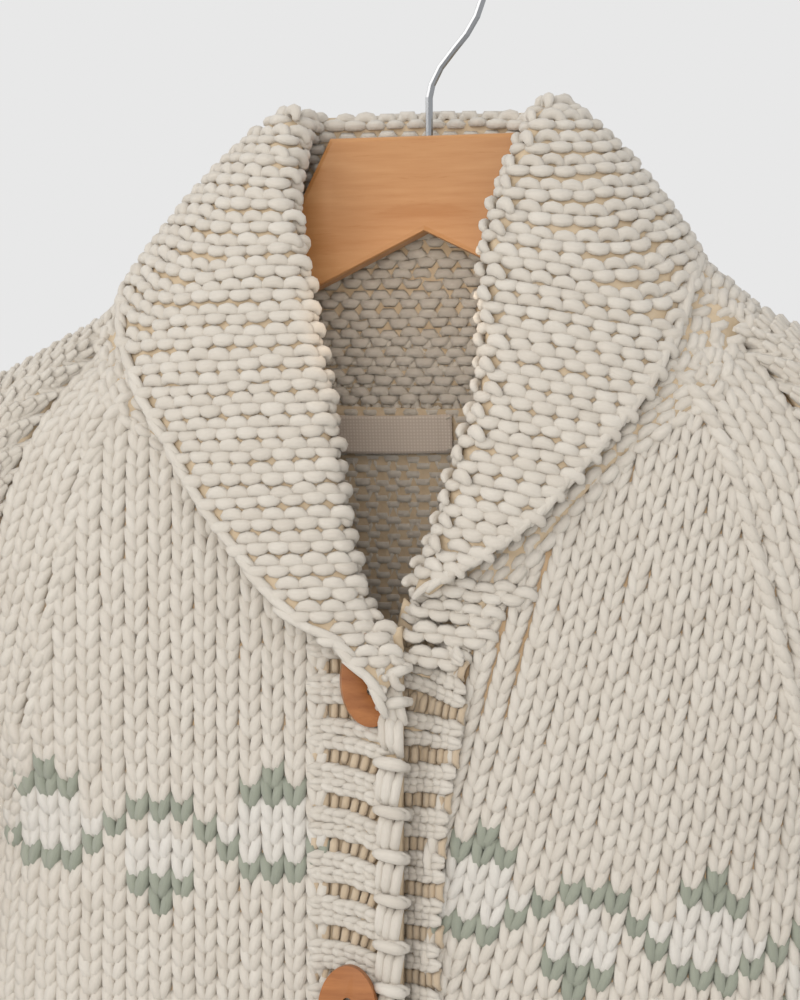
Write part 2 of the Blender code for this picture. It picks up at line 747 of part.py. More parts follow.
def make_cloth(wool):
    """The fronts, the back and the sleeves share their seams, so their normals are worked out together."""
    names = ["front_right", "front_left", "back_panel", "sleeve_right", "sleeve_left"]
    grids = [
        front_grid(-1),
        front_grid(1),
        back_grid(),
        sleeve_grid(-1, SLEEVE_TUBE),
        sleeve_grid(1, SLEEVE_TUBE),
    ]
    front, back = (0, -1, 0), (0, 1, 0)
    guides = [facing(grids[0], front), facing(grids[1], front), facing(grids[2], back)]
    guides += [from_middle(grids[3]), from_middle(grids[4])]
    for name, grid, normals in zip(names, grids, shared_normals(grids, guides)):
        if name.startswith("front"):
            normals[0] = normals[0, -1]
        half = SEAM_GAP / 2
        wall(name, inset(grid, half, half, RAGLAN_GAP / 2, RAGLAN_GAP / 2), normals, wool)


def make_welts(wool):
    """The ribbed welt under each panel and the ribbed cuffs."""
    rows = (RIB_TOP - SEAM_GAP, (RIB_TOP + HEM) / 2 + 20, (RIB_TOP + HEM) / 2 - 8, HEM)
    grids = [np.array([welt_row(-1, side, z, front_inner_x(side, z)) for z in rows]) for side in (-1, 1)]
    halves = [np.array([welt_row(1, side, z, 0) for z in rows]) for side in (-1, 1)]
    grids.append(np.concatenate([halves[0][:, ::-1], halves[1][:, 1:]], axis=1))
    guides = [facing(grids[0], (0, -1, 0)), facing(grids[1], (0, -1, 0)), facing(grids[2], (0, 1, 0))]
    names = ("welt_front_right", "welt_front_left", "welt_back")
    for name, grid, normals in zip(names, grids, shared_normals(grids, guides)):
        relief = welt_relief(grid, RIB_PITCH, RIB_RELIEF)
        relief[:, [0, -1]] = 0
        wall(name, inset(grid, first=SEAM_GAP / 2, last=SEAM_GAP / 2), normals, wool, relief=relief)
    for name, side in (("cuff_right", -1), ("cuff_left", 1)):
        grid = sleeve_grid(side, CUFF_TUBE, columns=41, cap=False)[:, :-1]
        normals = from_middle(grid)
        relief = welt_relief(grid, grid_length(grid) / 11, RIB_RELIEF)
        wall(name, grid, normals, wool, relief=relief, ring=True)


def grid_length(grid):
    closed = np.vstack([grid[0], grid[0][:1]])
    return np.linalg.norm(np.diff(closed, axis=0), axis=1).sum()


def away_from_neck(points):
    """The way the garment's cloth runs on from its neck seam: down in front and behind, outwards on the shoulder."""
    reach = np.abs(points[:, 0])
    on_ridge = np.exp(-(((points[:, 1] - RIDGE_Y) / RIDGE_HALF_WIDTH) ** 2)) * (reach > RIDGE_FROM_X)
    away = np.zeros_like(points)
    away[:, 0] = np.sign(points[:, 0]) * (0.3 + 0.7 * on_ridge)
    away[:, 1] = np.sign(points[:, 1] - RIDGE_Y) * 0.5 * (1 - on_ridge) * (reach > RAGLAN_FROM_X)
    away[:, 2] = -1 + 0.5 * on_ridge
    return unit(away)


def make_collar(wool):
    grid = collar_grid()
    normals = own_normals(grid, unit(grid - grid.mean(axis=1, keepdims=True)))
    tangent = np.gradient(grid[:, 0], axis=0)
    through = unit(grid[:, 1] - grid[:, 0]) - away_from_neck(grid[:, 0])
    square = unit(np.cross(tangent, through))
    turned = np.sign((square * normals[:, 0]).sum(axis=1, keepdims=True))
    normals[:, 0] = square * turned
    wall("collar", inset(grid, first=COLLAR_GAP), normals, wool, thick=COLLAR_CLOTH)


for thing in list(bpy.data.objects):
    bpy.data.objects.remove(thing)

PARTS = bpy.data.collections.new("cardigan on hanger")
CUTTERS = bpy.data.collections.new("cutters")
bpy.context.scene.collection.children.link(PARTS)
bpy.context.scene.collection.children.link(CUTTERS)

WOOL = material("natural wool, hand knitted", (0.80, 0.74, 0.65), 0.95)
BEECH = material("oiled beech", (0.62, 0.35, 0.16), 0.5)
STEEL = material("chromed steel wire", (0.72, 0.73, 0.75), 0.18, 1.0)
TOGGLE = material("waxed maple wood", (0.52, 0.25, 0.08), 0.45)
COTTON = material("undyed cotton tape", (0.74, 0.68, 0.60), 0.9)

make_hanger(BEECH)
make_hook(STEEL)
make_cloth(WOOL)
make_welts(WOOL)
make_collar(WOOL)
make_band("band_right", True, WOOL)
make_band("band_left", False, WOOL)
make_label(COTTON)
for number in range(4):
    make_button(
        number + 1,
        x=BUTTON_X,
        z=BUTTON_TOP - number * BUTTON_PITCH,
        wood=TOGGLE,
    )
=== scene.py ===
"""The hand-knitted shawl-collar cardigan on its wooden hanger, dressed stitch by stitch.

Lengths are millimetres in the classes and turn to metres where a mesh is made. +Z is up, -Y is the garment's
front and -X is the wearer's right. The cloth forms repeat the named sizes of the part's own source.
"""

import enum
import logging
import math
from dataclasses import dataclass, field, fields
from typing import Optional, Sequence

import bmesh
import bpy
import numpy as np
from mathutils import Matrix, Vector


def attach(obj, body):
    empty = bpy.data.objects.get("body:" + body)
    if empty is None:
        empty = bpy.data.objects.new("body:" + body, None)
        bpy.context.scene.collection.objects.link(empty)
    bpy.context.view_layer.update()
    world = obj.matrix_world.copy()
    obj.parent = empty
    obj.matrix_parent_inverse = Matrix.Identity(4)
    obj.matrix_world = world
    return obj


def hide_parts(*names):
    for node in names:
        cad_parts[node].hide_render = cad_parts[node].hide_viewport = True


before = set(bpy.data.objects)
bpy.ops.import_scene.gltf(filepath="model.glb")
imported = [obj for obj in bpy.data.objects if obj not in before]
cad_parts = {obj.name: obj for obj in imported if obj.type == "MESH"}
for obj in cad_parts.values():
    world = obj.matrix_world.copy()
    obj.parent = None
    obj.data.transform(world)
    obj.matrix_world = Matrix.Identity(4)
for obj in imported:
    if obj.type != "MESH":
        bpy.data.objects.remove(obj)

MM = 0.001
Array = np.ndarray
FRONT = np.array([0.0, -1.0, 0.0])
LOG = logging.getLogger("cardigan")


def table(*rows: tuple[float, ...]) -> Array:
    """A field of a dataclass that holds a table of sizes."""
    return field(default_factory=lambda: np.array(rows))


def smooth(sizes: Array, column: int, at: float) -> float:
    """Reads a column of a table at a key in column 0, along a cubic through its rows.

    Args:
        sizes: The rows of the table, sorted by their first column.
        column: The column to read.
        at: The key, held within the table's range.

    Returns:
        The value there.
    """
    keys, values = sizes[:, 0], sizes[:, column]
    if keys[0] > keys[-1]:
        keys, values = keys[::-1], values[::-1]
    at = min(max(at, keys[0]), keys[-1])
    slopes = np.gradient(values, keys)
    i = min(int(np.searchsorted(keys, at, side="right")) - 1, len(keys) - 2)
    step = keys[i + 1] - keys[i]
    t = (at - keys[i]) / step
    rise = 3 * t * t - 2 * t**3
    start = t * (1 - t) ** 2 * step * slopes[i]
    end = -t * t * (1 - t) * step * slopes[i + 1]
    return float(values[i] * (1 - rise) + values[i + 1] * rise + start + end)


def unit(v: Array) -> Array:
    """Vectors brought to length one."""
    return v / np.maximum(np.linalg.norm(v, axis=-1, keepdims=True), 1e-9)


def travelled(line: Array) -> Array:
    """Distance along a polyline at each of its points."""
    return np.concatenate([[0], np.cumsum(np.linalg.norm(np.diff(line, axis=0), axis=1))])


def rows_travelled(grid: Array) -> Array:
    """Distance along each row of a grid at each of its points."""
    steps = np.linalg.norm(np.diff(grid, axis=1), axis=2)
    return np.concatenate([np.zeros((len(grid), 1)), np.cumsum(steps, axis=1)], axis=1)


def sampled(wanted: Array, far: Array, values: Array) -> Array:
    """Reads columns of values, known at distances along a line, at other distances."""
    return np.stack([np.interp(wanted, far, column) for column in values.T], axis=-1)


def along(line: Array, shares: Array) -> Array:
    """Points of a polyline at shares of its length."""
    far = travelled(line)
    return sampled(np.asarray(shares) * far[-1], far, line)


def flat_grid(u: Array, v: Array) -> tuple[Array, Array]:
    """Every pair of places across and places up, as two flat lists."""
    across, up = np.meshgrid(u, v)
    return across.ravel(), up.ravel()


def side_name(side: int) -> str:
    """The wearer's side, for -1 and 1."""
    return "right" if side < 0 else "left"


def refine(grid: Array, steps: int) -> Array:
    """Adds rows to a grid, along smooth curves through its own rows.

    Args:
        grid: Points in rows and columns.
        steps: How many rows each one becomes.

    Returns:
        The grid with its rows closer together.
    """
    padded = np.concatenate([2 * grid[:1] - grid[1:2], grid, 2 * grid[-1:] - grid[-2:-1]])
    rows = []
    for i in range(len(grid) - 1):
        a, b, c, d = padded[i : i + 4]
        for t in np.arange(steps) / steps:
            rows.append(
                0.5 * (2 * b + (c - a) * t + (2 * a - 5 * b + 4 * c - d) * t**2 + (3 * b - a - 3 * c + d) * t**3)
            )
    return np.array(rows + [grid[-1]])


def widen(grid: Array, steps: int) -> Array:
    """Adds columns to a grid, as refine adds rows."""
    return refine(grid.transpose(1, 0, 2), steps).transpose(1, 0, 2)


def own_normals(grid: Array, outwards: Optional[Array] = None) -> Array:
    """Normals of a grid, turned the way that most of them face the guide, or away from the middle of each row."""
    outwards = grid - grid.mean(axis=1, keepdims=True) if outwards is None else outwards
    normals = unit(np.cross(np.gradient(grid, axis=1), np.gradient(grid, axis=0)))
    return normals if (normals * outwards).sum() > 0 else -normals


@dataclass
class BodyForm:
    """The body of the garment: fronts and back between the neck, the raglan seams and the hem."""

    # z, seam x, seam y in front, seam y at the back, depth in front, depth at the back, turn in degrees
    rows: Array = table(
        (-180, 139.0, -27, 14, 46, 28, 62),
        (-203, 158.0, -36, 23, 52, 33, 64),
        (-228, 171.5, -41, 29, 55, 37, 66),
        (-265, 182.0, -43, 31, 57, 40, 69),
        (-306, 191.0, -38, 28, 58, 42, 70),
        (-345, 197.0, -28, 21, 59, 44, 70),
        (-395, 201.0, 0, 0, 59, 45, 72),
        (-450, 204.0, 0, 0, 58, 46, 82),
        (-540, 210.0, 0, 0, 57, 46, 86),
        (-640, 213.0, 0, 0, 55, 45, 86),
        (-718, 211.0, 0, 0, 53, 43, 86),
        (-777, 204.0, 0, 0, 51, 41, 86),
    )
    # x of the crest, width, height at the hem, face
    folds: tuple[tuple[float, float, float, int], ...] = (
        (-150, 22, 5.0, -1),
        (-96, 24, -4.0, -1),
        (88, 24, -4.0, -1),
        (138, 22, 5.5, -1),
        (-128, 26, 5.0, 1),
        (-52, 30, -5.0, 1),
        (34, 28, 5.5, 1),
        (112, 26, -4.5, 1),
    )
    # z and distance from the middle, then z and x of the fronts' inner edge
    neck_front: Array = table(
        (-180, 132.5), (-197, 131.0), (-210, 121.0), (-220, 101.0),
        (-237, 83.0), (-257, 66.0), (-282, 43.0), (-306, 25.0),
    )
    under_edge: Array = table(
        (-306, 25.0), (-327, 24.5), (-377, 17.5), (-451, 13.5), (-777, 12.0)
    )
    neck_back: Array = table(
        (0, -204.0), (45, -201.5), (85, -195.0), (118, -186.5), (139, -180.0)
    )
    over_edge: float = 34.0
    fullness: float = 0.66
    raglan_top: float = -180.0
    neck_end: float = -306.0
    armpit: float = -395.0
    rib_top: float = -718.0
    hem: float = -777.0

    def fold_height(self, x: Array, z: float, face: int) -> Array:
        """How far the drape folds lift the cloth at points of one height."""
        share = min(max((self.armpit + 20 - z) / (self.armpit - self.hem), 0), 1)
        lifts = [h * share * np.exp(-(((x - crest) / w) ** 2)) for crest, w, h, f in self.folds if f == face]
        return np.sum(lifts, axis=0)

    def seam_depth(self, face: int, z: float) -> float:
        """y of the raglan seam at a height, and 0 at the side seam."""
        if z <= self.armpit:
            return 0.0
        return face * max(face * smooth(self.rows, 2 if face < 0 else 3, z), 0.0)

    def depth(self, face: int, z: float) -> float:
        """How far the middle of a face stands from the middle of the garment."""
        return smooth(self.rows, 4 if face < 0 else 5, z)

    def curve(self, face: int, side: int, z: float, samples: int = 64) -> Array:
        """Half of the outline at a height, from the middle to the seam.

        Args:
            face: -1 for the front and 1 for the back.
            side: -1 or 1 for x below or above 0.
            z: The height.
            samples: How many points.

        Returns:
            The points, one a row.
        """
        seam_x = smooth(self.rows, 1, z)
        seam_y = self.seam_depth(face, z)
        depth = self.depth(face, z)
        turn = math.radians(min(smooth(self.rows, 6, z), 90.0))
        angles = np.linspace(0, turn, samples)
        upright = np.maximum(np.cos(angles), 0) ** self.fullness
        x = side * seam_x * (np.sin(angles) / math.sin(turn)) ** self.fullness
        rounding = (1 - upright) / (1 - upright[-1])
        y = face * depth + (seam_y - face * depth) * rounding
        folds = self.fold_height(x, z, face) * (1 - rounding)
        return np.stack([x, y + face * folds, np.full(samples, z)], axis=-1)

    def heights(self) -> Array:
        """Heights between the ribs of the hem and the top of the raglan at which a face is laid out flat."""
        return np.arange(self.rib_top, self.raglan_top + 1, 6.0)

    def inner_x(self, side: int, z: float) -> float:
        """Where a front begins: the neck edge above and the edge of its band below."""
        neck = smooth(self.neck_front, 1, z) if z > self.neck_end else 0.0
        if side < 0:
            return max(neck, self.over_edge)
        return neck if z > self.neck_end else smooth(self.under_edge, 1, z)

    def strip(self, face: int, side: int, z: float, inner_x: float, shares: Array) -> Array:
        """Points along the outline from inner_x out to the seam."""
        line = self.curve(face, side, z)
        distance = np.abs(line[:, 0])
        first = sampled(inner_x, distance, line)
        return along(np.vstack([first, line[distance > inner_x + 0.5], line[-1:]]), shares)

    def back_row(self, z: float, columns: int) -> Array:
        """A row of the back panel, which follows the curved back neck above the armpit."""
        halves = []
        for side in (-1, 1):
            half = []
            for share in np.linspace(0, 1, columns):
                top = smooth(self.neck_back, 1, share * self.neck_back[-1, 0])
                rise = (top - self.armpit) / (self.raglan_top - self.armpit)
                level = self.armpit + (z - self.armpit) * rise if z > self.armpit else z
                half.append(along(self.curve(1, side, level), [share])[0])
            halves.append(half)
        return np.array(halves[0][::-1] + halves[1][1:])


@dataclass
class SleeveForm:
    """A raglan sleeve: slanting sections from the neck to the armpit, then rings down to the wrist."""

    body: BodyForm
    side: int
    # seam z, outer x, outer z, half depth
    cap: tuple[tuple[float, float, float, float], ...] = (
        (-180, 139.0, -163.0, 20.6),
        (-192, 153.0, -170.5, 26.5),
        (-203, 166.0, -177.5, 31.0),
        (-216, 180.0, -185.0, 35.0),
        (-228, 195.0, -193.5, 38.0),
        (-245, 212.5, -207.0, 41.0),
        (-265, 231.0, -227.0, 43.5),
        (-285, 247.0, -250.0, 45.0),
        (-306, 261.0, -276.0, 46.0),
        (-325, 270.5, -299.0, 46.6),
        (-345, 279.0, -323.0, 47.0),
        (-370, 288.0, -355.0, 47.4),
        (-395, 294.5, -388.0, 48.0),
    )
    # inner x, inner z, outer x, outer z, half depth, centre y
    tube: tuple[tuple[float, float, float, float, float, float], ...] = (
        (208, -405, 296.5, -399, 48.0, -1),
        (214, -422, 298.5, -417, 47.0, -2),
        (217, -448, 299.5, -445, 45.5, -3),
        (219, -482, 300.0, -480, 43.5, -5),
        (221, -522, 301.0, -521, 42.0, -6),
        (224, -562, 302.0, -562, 40.0, -6),
        (226, -602, 302.5, -602, 37.5, -5),
        (228, -640, 301.5, -640, 34.5, -4),
    )
    cuff: tuple[tuple[float, float, float, float, float, float], ...] = (
        (231, -641, 299.0, -641, 32.0, -4),
        (234, -655, 297.0, -655, 29.5, -4),
        (235, -685, 297.0, -685, 29.5, -4),
        (235, -707, 298.0, -707, 30.0, -4),
    )
    # z, half height, depth, share of the way round from the front seam to the back seam
    creases: tuple[tuple[float, float, float, float], ...] = (
        (-350, 16, 4.5, 0.16),
        (-448, 15, 4.0, 0.20),
        (-505, 13, 3.5, 0.36),
        (-560, 13, 3.0, 0.24),
        (-470, 16, 4.0, 0.80),
    )
    crease_width: float = 0.11
    sharpness: float = 24.0

    def arch(self, seam: Array, outer: Array, seam_y: float, middle: float, half_depth: float,
             face: int, angles: Array, sharpness: float = 0.0) -> Array:
        """Half a section, from its seam on one face to its outermost point.

        Args:
            seam: x and z of the seam.
            outer: x and z of the outermost point.
            seam_y: y of the seam.
            middle: y of the section's middle.
            half_depth: Half of its depth, front to back.
            face: -1 for the front and 1 for the back.
            angles: Shares of the way round.
            sharpness: The least angle, in degrees, at which the two halves meet.

        Returns:
            The points, one a row.
        """
        reach = outer - seam
        distance = np.linalg.norm(reach)
        seam_off = abs(seam_y - middle)
        start = max(math.asin(min(seam_off / half_depth, 1.0)), math.radians(sharpness))
        half_width = distance / (1 + math.cos(start))
        turn = start + (math.pi - start) * angles
        place = outer[None] - (half_width * (1 + np.cos(turn)))[:, None] * (reach / distance)[None]
        closing = np.maximum(math.pi / 2 - turn, 0) / (math.pi / 2 - min(start, 1.5))
        off = half_depth * np.sin(turn) - (half_depth * math.sin(start) - seam_off) * closing
        return np.stack([place[:, 0], middle + face * off, place[:, 1]], axis=-1)

    def sections(self, columns: int = 41, cuff: bool = False) -> Array:
        """The sections from the neck to the wrist, or those of the cuff, each from the front seam to the back one."""
        angles = np.linspace(0, 1, (columns + 1) // 2)
        rows = []
        for z, outer_x, outer_z, half_depth in () if cuff else self.cap:
            seam, outer = np.array([smooth(self.body.rows, 1, z), z]), np.array([outer_x, outer_z])
            front_y, back_y = self.body.seam_depth(-1, z), self.body.seam_depth(1, z)
            middle = (front_y + back_y) / 2
            front = self.arch(seam, outer, front_y, middle, half_depth, -1, angles, self.sharpness)
            back = self.arch(seam, outer, back_y, middle, half_depth, 1, angles, self.sharpness)
            rows.append(np.vstack([front, back[-2::-1]]))
        for inner_x, inner_z, outer_x, outer_z, half_depth, middle in self.cuff if cuff else self.tube:
            inner, outer = np.array([inner_x, inner_z]), np.array([outer_x, outer_z])
            front = self.arch(inner, outer, middle, middle, half_depth, -1, angles)
            back = self.arch(inner, outer, middle, middle, half_depth, 1, angles)
            rows.append(np.vstack([front, back[-2::-1]]))
        grid = np.array(rows)
        inward = unit(grid.mean(axis=1, keepdims=True) - grid)
        shares = np.linspace(0, 1, grid.shape[1])
        depth = np.zeros(grid.shape[:2])
        for middle, half_height, deep, place in self.creases:
            height = np.exp(-(((grid[..., 2] - middle) / half_height) ** 2))
            depth += deep * height * np.exp(-(((shares - place) / self.crease_width) ** 2))
        grid += inward * (depth * np.minimum(1, 8 * shares * (1 - shares)))[..., None]
        grid[..., 0] *= self.side
        return grid


@dataclass
class CollarForm:
    """The shawl collar: sections up from the neck seam, over the fold and down to the free edge."""

    body: BodyForm
    # distance along the neck edge, centre of the fold x y z, free edge x y z
    left: Array = table(
        (0, 0, 20, -84, 0, 46, -186),
        (45, 26, 20, -83, 50, 45, -182),
        (88, 43, 18, -82, 88, 39, -170),
        (128, 55, 11, -81, 110, 26, -156),
        (158, 57, 2, -81, 118, 8, -146),
        (177, 56, -9, -83, 120, -8, -143),
        (202, 52, -25, -98, 119, -25, -152),
        (222, 47, -37, -118, 115, -39, -171),
        (244, 42, -46, -142, 108, -52, -191),
        (267, 42, -52, -172, 94, -60, -213),
        (293, 41, -55, -204, 77, -64, -232),
        (319, 33, -57, -231, 61, -67, -250),
        (349, 25, -57, -256, 43, -68, -264),
        (368, 17, -57, -271, 30, -66, -272),
        (381, 10, -57, -283, 15, -65, -281),
    )
    right: Array = table(
        (0, 0, 20, -84, 0, 46, -186),
        (45, -27, 20, -83, -50, 45, -182),
        (88, -45, 18, -82, -88, 39, -171),
        (128, -57, 11, -81, -114, 27, -156),
        (158, -59, 2, -81, -127, 8, -148),
        (177, -58, -9, -83, -130, -8, -146),
        (202, -57, -25, -98, -131, -24, -156),
        (222, -56, -37, -120, -125, -40, -176),
        (244, -50, -47, -147, -114, -53, -198),
        (267, -43, -53, -178, -99, -60, -220),
        (293, -36, -57, -210, -82, -65, -247),
        (319, -31, -58, -243, -63, -69, -270),
        (341, -27, -59, -268, -50, -72, -284),
        (358, -23, -60, -281, -40, -74, -293),
        (372, -17, -61, -294, -27, -75, -301),
    )
    # the tip that runs on over the band of buttons: centre of the fold x y z, free edge x y z
    tip: Array = table(
        (-13, -62, -298, -21, -74, -304),
        (-9, -63, -302, -17, -74, -310),
        (-5, -64, -307, -12.5, -74, -315),
        (-1, -65, -313, -7.5, -73, -320),
        (1, -66, -320, -5, -72, -327),
    )
    tip_stand: tuple[float, float, float] = (-6.0, 7.0, -12.0)
    fold_radius: float = 7.5
    steps: int = 5

    def bezier(self, a: Array, b: Array, c: Array, d: Array) -> Array:
        """Points of a cubic curve from a to d."""
        t = np.linspace(0, 1, self.steps)[:, None]
        return a * (1 - t) ** 3 + 3 * b * t * (1 - t) ** 2 + 3 * c * t * t * (1 - t) + d * t**3

    def neck_line(self, side: int) -> Array:
        """The neck edge of one half: the back, the top of the sleeve, then the front."""
        back = self.body.back_row(self.body.raglan_top, 10)
        half = back[9:] if side > 0 else back[9::-1]
        shoulder = SleeveForm(self.body, side).sections(17)[0][::-1]
        heights = [row[0] for row in SleeveForm(self.body, side).cap if row[0] > self.body.neck_end - 1]
        front = [self.body.strip(-1, side, z, self.body.inner_x(side, z), [0])[0] for z in heights]
        return np.vstack([half, shoulder[1:], front])

    def section(self, seam: Array, fold: Array, edge: Array, path: Array) -> Array:
        """One section of the collar, from its seam to its free edge.

        Args:
            seam: Its point on the neck edge.
            fold: The centre of its fold.
            edge: Its point on the free edge.
            path: The direction in which the fold runs there.

        Returns:
            The points, one a row.
        """
        crest = unit(fold - (seam + edge) / 2)
        outward = unit(np.cross(path, crest))
        outward = -outward if np.dot(outward, edge - seam) < 0 else outward
        radius = min(self.fold_radius, 0.3 * np.linalg.norm(fold - edge))
        inner, outer = fold - outward * radius, fold + outward * radius
        rise, fall = np.linalg.norm(inner - seam), np.linalg.norm(outer - edge)
        stand = self.bezier(seam, seam + (inner - seam) * 0.36, inner - crest * rise * 0.3, inner)
        turn = np.linspace(math.pi, 0, 5)[1:-1, None]
        bend = fold + outward * radius * np.cos(turn) + crest * radius * np.sin(turn)
        bulge = outward * fall * 0.06
        drop = self.bezier(outer, outer - crest * fall * 0.3 + bulge, edge + (outer - edge) * 0.3 + bulge, edge)
        return np.vstack([stand, bend, drop])

    def half(self, side: int, sizes: Array) -> list[Array]:
        """Sections of half the collar, with one between each two rows of its table."""
        line = self.neck_line(side)
        far = travelled(line)
        keyed = np.column_stack([np.arange(len(sizes)), sizes])
        places = np.arange(0, len(sizes) - 0.9, 0.5)
        rows = np.array([[smooth(keyed, k, place) for k in range(1, 8)] for place in places])
        paths = unit(np.gradient(rows[:, 1:4], axis=0))
        seams = sampled(rows[:, 0], far, line)
        return [self.section(s, r[1:4], r[4:7], p) for s, r, p in zip(seams, rows, paths)]

    def grid(self) -> Array:
        """The whole collar, from the wearer's right front tip round the back to the left front tip."""
        right, left = self.half(-1, self.right), self.half(1, self.left)
        path = unit(self.tip[-1, :3] - self.tip[0, :3])
        tip = [self.section(row[:3] + np.array(self.tip_stand), row[:3], row[3:], path) for row in self.tip]
        return np.array(tip[::-1] + right[:0:-1] + left)


@dataclass
class Chart:
    """A form laid out flat: u runs across it and v up it, in millimetres, on an even grid."""

    points: Array
    normals: Array
    low_u: float
    low_v: float
    step: float
    first: Array
    last: Array

    @classmethod
    def of_rows(cls, rows: Sequence[Array], arcs: Sequence[Array], heights: Array, outwards: Optional[Array],
                step: float = 3.0, beyond: float = 12.0) -> "Chart":
        """Lays out rows of points.

        Args:
            rows: A polyline for each height, all the same way.
            arcs: The distance u of each point of each polyline.
            heights: v of each polyline, in rising order.
            outwards: A direction that the outer face looks to, or None for a closed form.
            step: The spacing of the chart.
            beyond: How far the chart runs on past the ends of its rows.

        Returns:
            The chart.
        """
        first, last = np.array([a[0] for a in arcs]), np.array([a[-1] for a in arcs])
        across = np.arange(first.min() - beyond, last.max() + beyond + step, step)
        laid = []
        for row, arc in zip(rows, arcs):
            start, end = unit(row[0] - row[2]), unit(row[-1] - row[-3])
            points = sampled(across, arc, row)
            points += np.maximum(arc[0] - across, 0)[:, None] * start
            points += np.maximum(across - arc[-1], 0)[:, None] * end
            laid.append(points)
        laid = np.array(laid)
        up = np.arange(heights[0], heights[-1] + step / 2, step)
        points = sampled(up, heights, laid.reshape(len(laid), -1)).reshape(len(up), len(across), 3)
        normals = own_normals(points, outwards)
        return cls(points, normals, across[0], heights[0], step,
                   np.interp(up, heights, first), np.interp(up, heights, last))

    def read(self, grid: Array, u: Array, v: Array) -> Array:
        """Values of a grid of this chart at flat places."""
        rows, columns = grid.shape[:2]
        a = np.clip((np.asarray(v) - self.low_v) / self.step, 0, rows - 1.001)
        b = np.clip((np.asarray(u) - self.low_u) / self.step, 0, columns - 1.001)
        i, j = a.astype(int), b.astype(int)
        s, t = (a - i)[..., None], (b - j)[..., None]
        top = grid[i, j] * (1 - t) + grid[i, j + 1] * t
        return top * (1 - s) + (grid[i + 1, j] * (1 - t) + grid[i + 1, j + 1] * t) * s

    def ends(self, v: Array) -> tuple[Array, Array]:
        """Where the form begins and ends along u at heights v."""
        known = self.low_v + self.step * np.arange(len(self.first))
        return np.interp(v, known, self.first), np.interp(v, known, self.last)

    def top(self) -> float:
        """The highest v."""
        return self.low_v + self.step * (len(self.first) - 1)

    def spots(self, u: Array, v: Array, grain: float | Array, width: float, height: float,
              look: Optional[Array] = None, outer: bool = True) -> "Spots":
        """Places for stitches at flat places.

        Args:
            u: Flat places across.
            v: Flat places up.
            grain: How far the stitches lean, in radians, one for all or one each.
            width: The width of a stitch.
            height: The height of a stitch.
            look: The yarn of each stitch.
            outer: True on the outer face and False on the inner one.

        Returns:
            The places on the form.
        """
        reach = 3.0
        centre = self.read(self.points, u, v)
        out = unit(self.read(self.normals, u, v))
        flat_u = unit(self.read(self.points, u + reach, v) - self.read(self.points, u - reach, v))
        flat_v = np.cross(out, flat_u)
        up = self.read(self.points, u, v + reach) - self.read(self.points, u, v - reach)
        flat_v *= np.sign((flat_v * up).sum(axis=-1, keepdims=True))
        grain = np.broadcast_to(grain, np.shape(u))[:, None]
        c, s = np.cos(grain), np.sin(grain)
        return Spots.of(centre, flat_u * c + flat_v * s, flat_v * c - flat_u * s, out if outer else -out,
                        width, height, look)


@dataclass
class Spots:
    """Places for stitches: where each is, its directions across, up and out of the cloth, its size and its yarn."""

    centre: Array
    across: Array
    up: Array
    out: Array
    width: Array
    height: Array
    look: Array

    @classmethod
    def of(cls, centre: Array, across: Array, up: Array, out: Array, width: float | Array, height: float | Array,
           look: Optional[Array] = None) -> "Spots":
        """Places whose directions and sizes are one for all or one each, in the first yarn unless look says more."""
        count = len(centre)
        ways = [np.broadcast_to(way, (count, 3)) for way in (across, up, out)]
        sizes = [np.broadcast_to(size, count) for size in (width, height)]
        return cls(centre, *ways, *sizes, np.zeros(count, int) if look is None else look)

    def chosen(self, keep: Array) -> "Spots":
        """Only some of the places."""
        return Spots(*[getattr(self, part.name)[keep] for part in fields(self)])

    @staticmethod
    def joined(several: Sequence["Spots"]) -> "Spots":
        """Several sets of places as one."""
        return Spots(*[np.concatenate([getattr(s, part.name) for s in several]) for part in fields(Spots)])


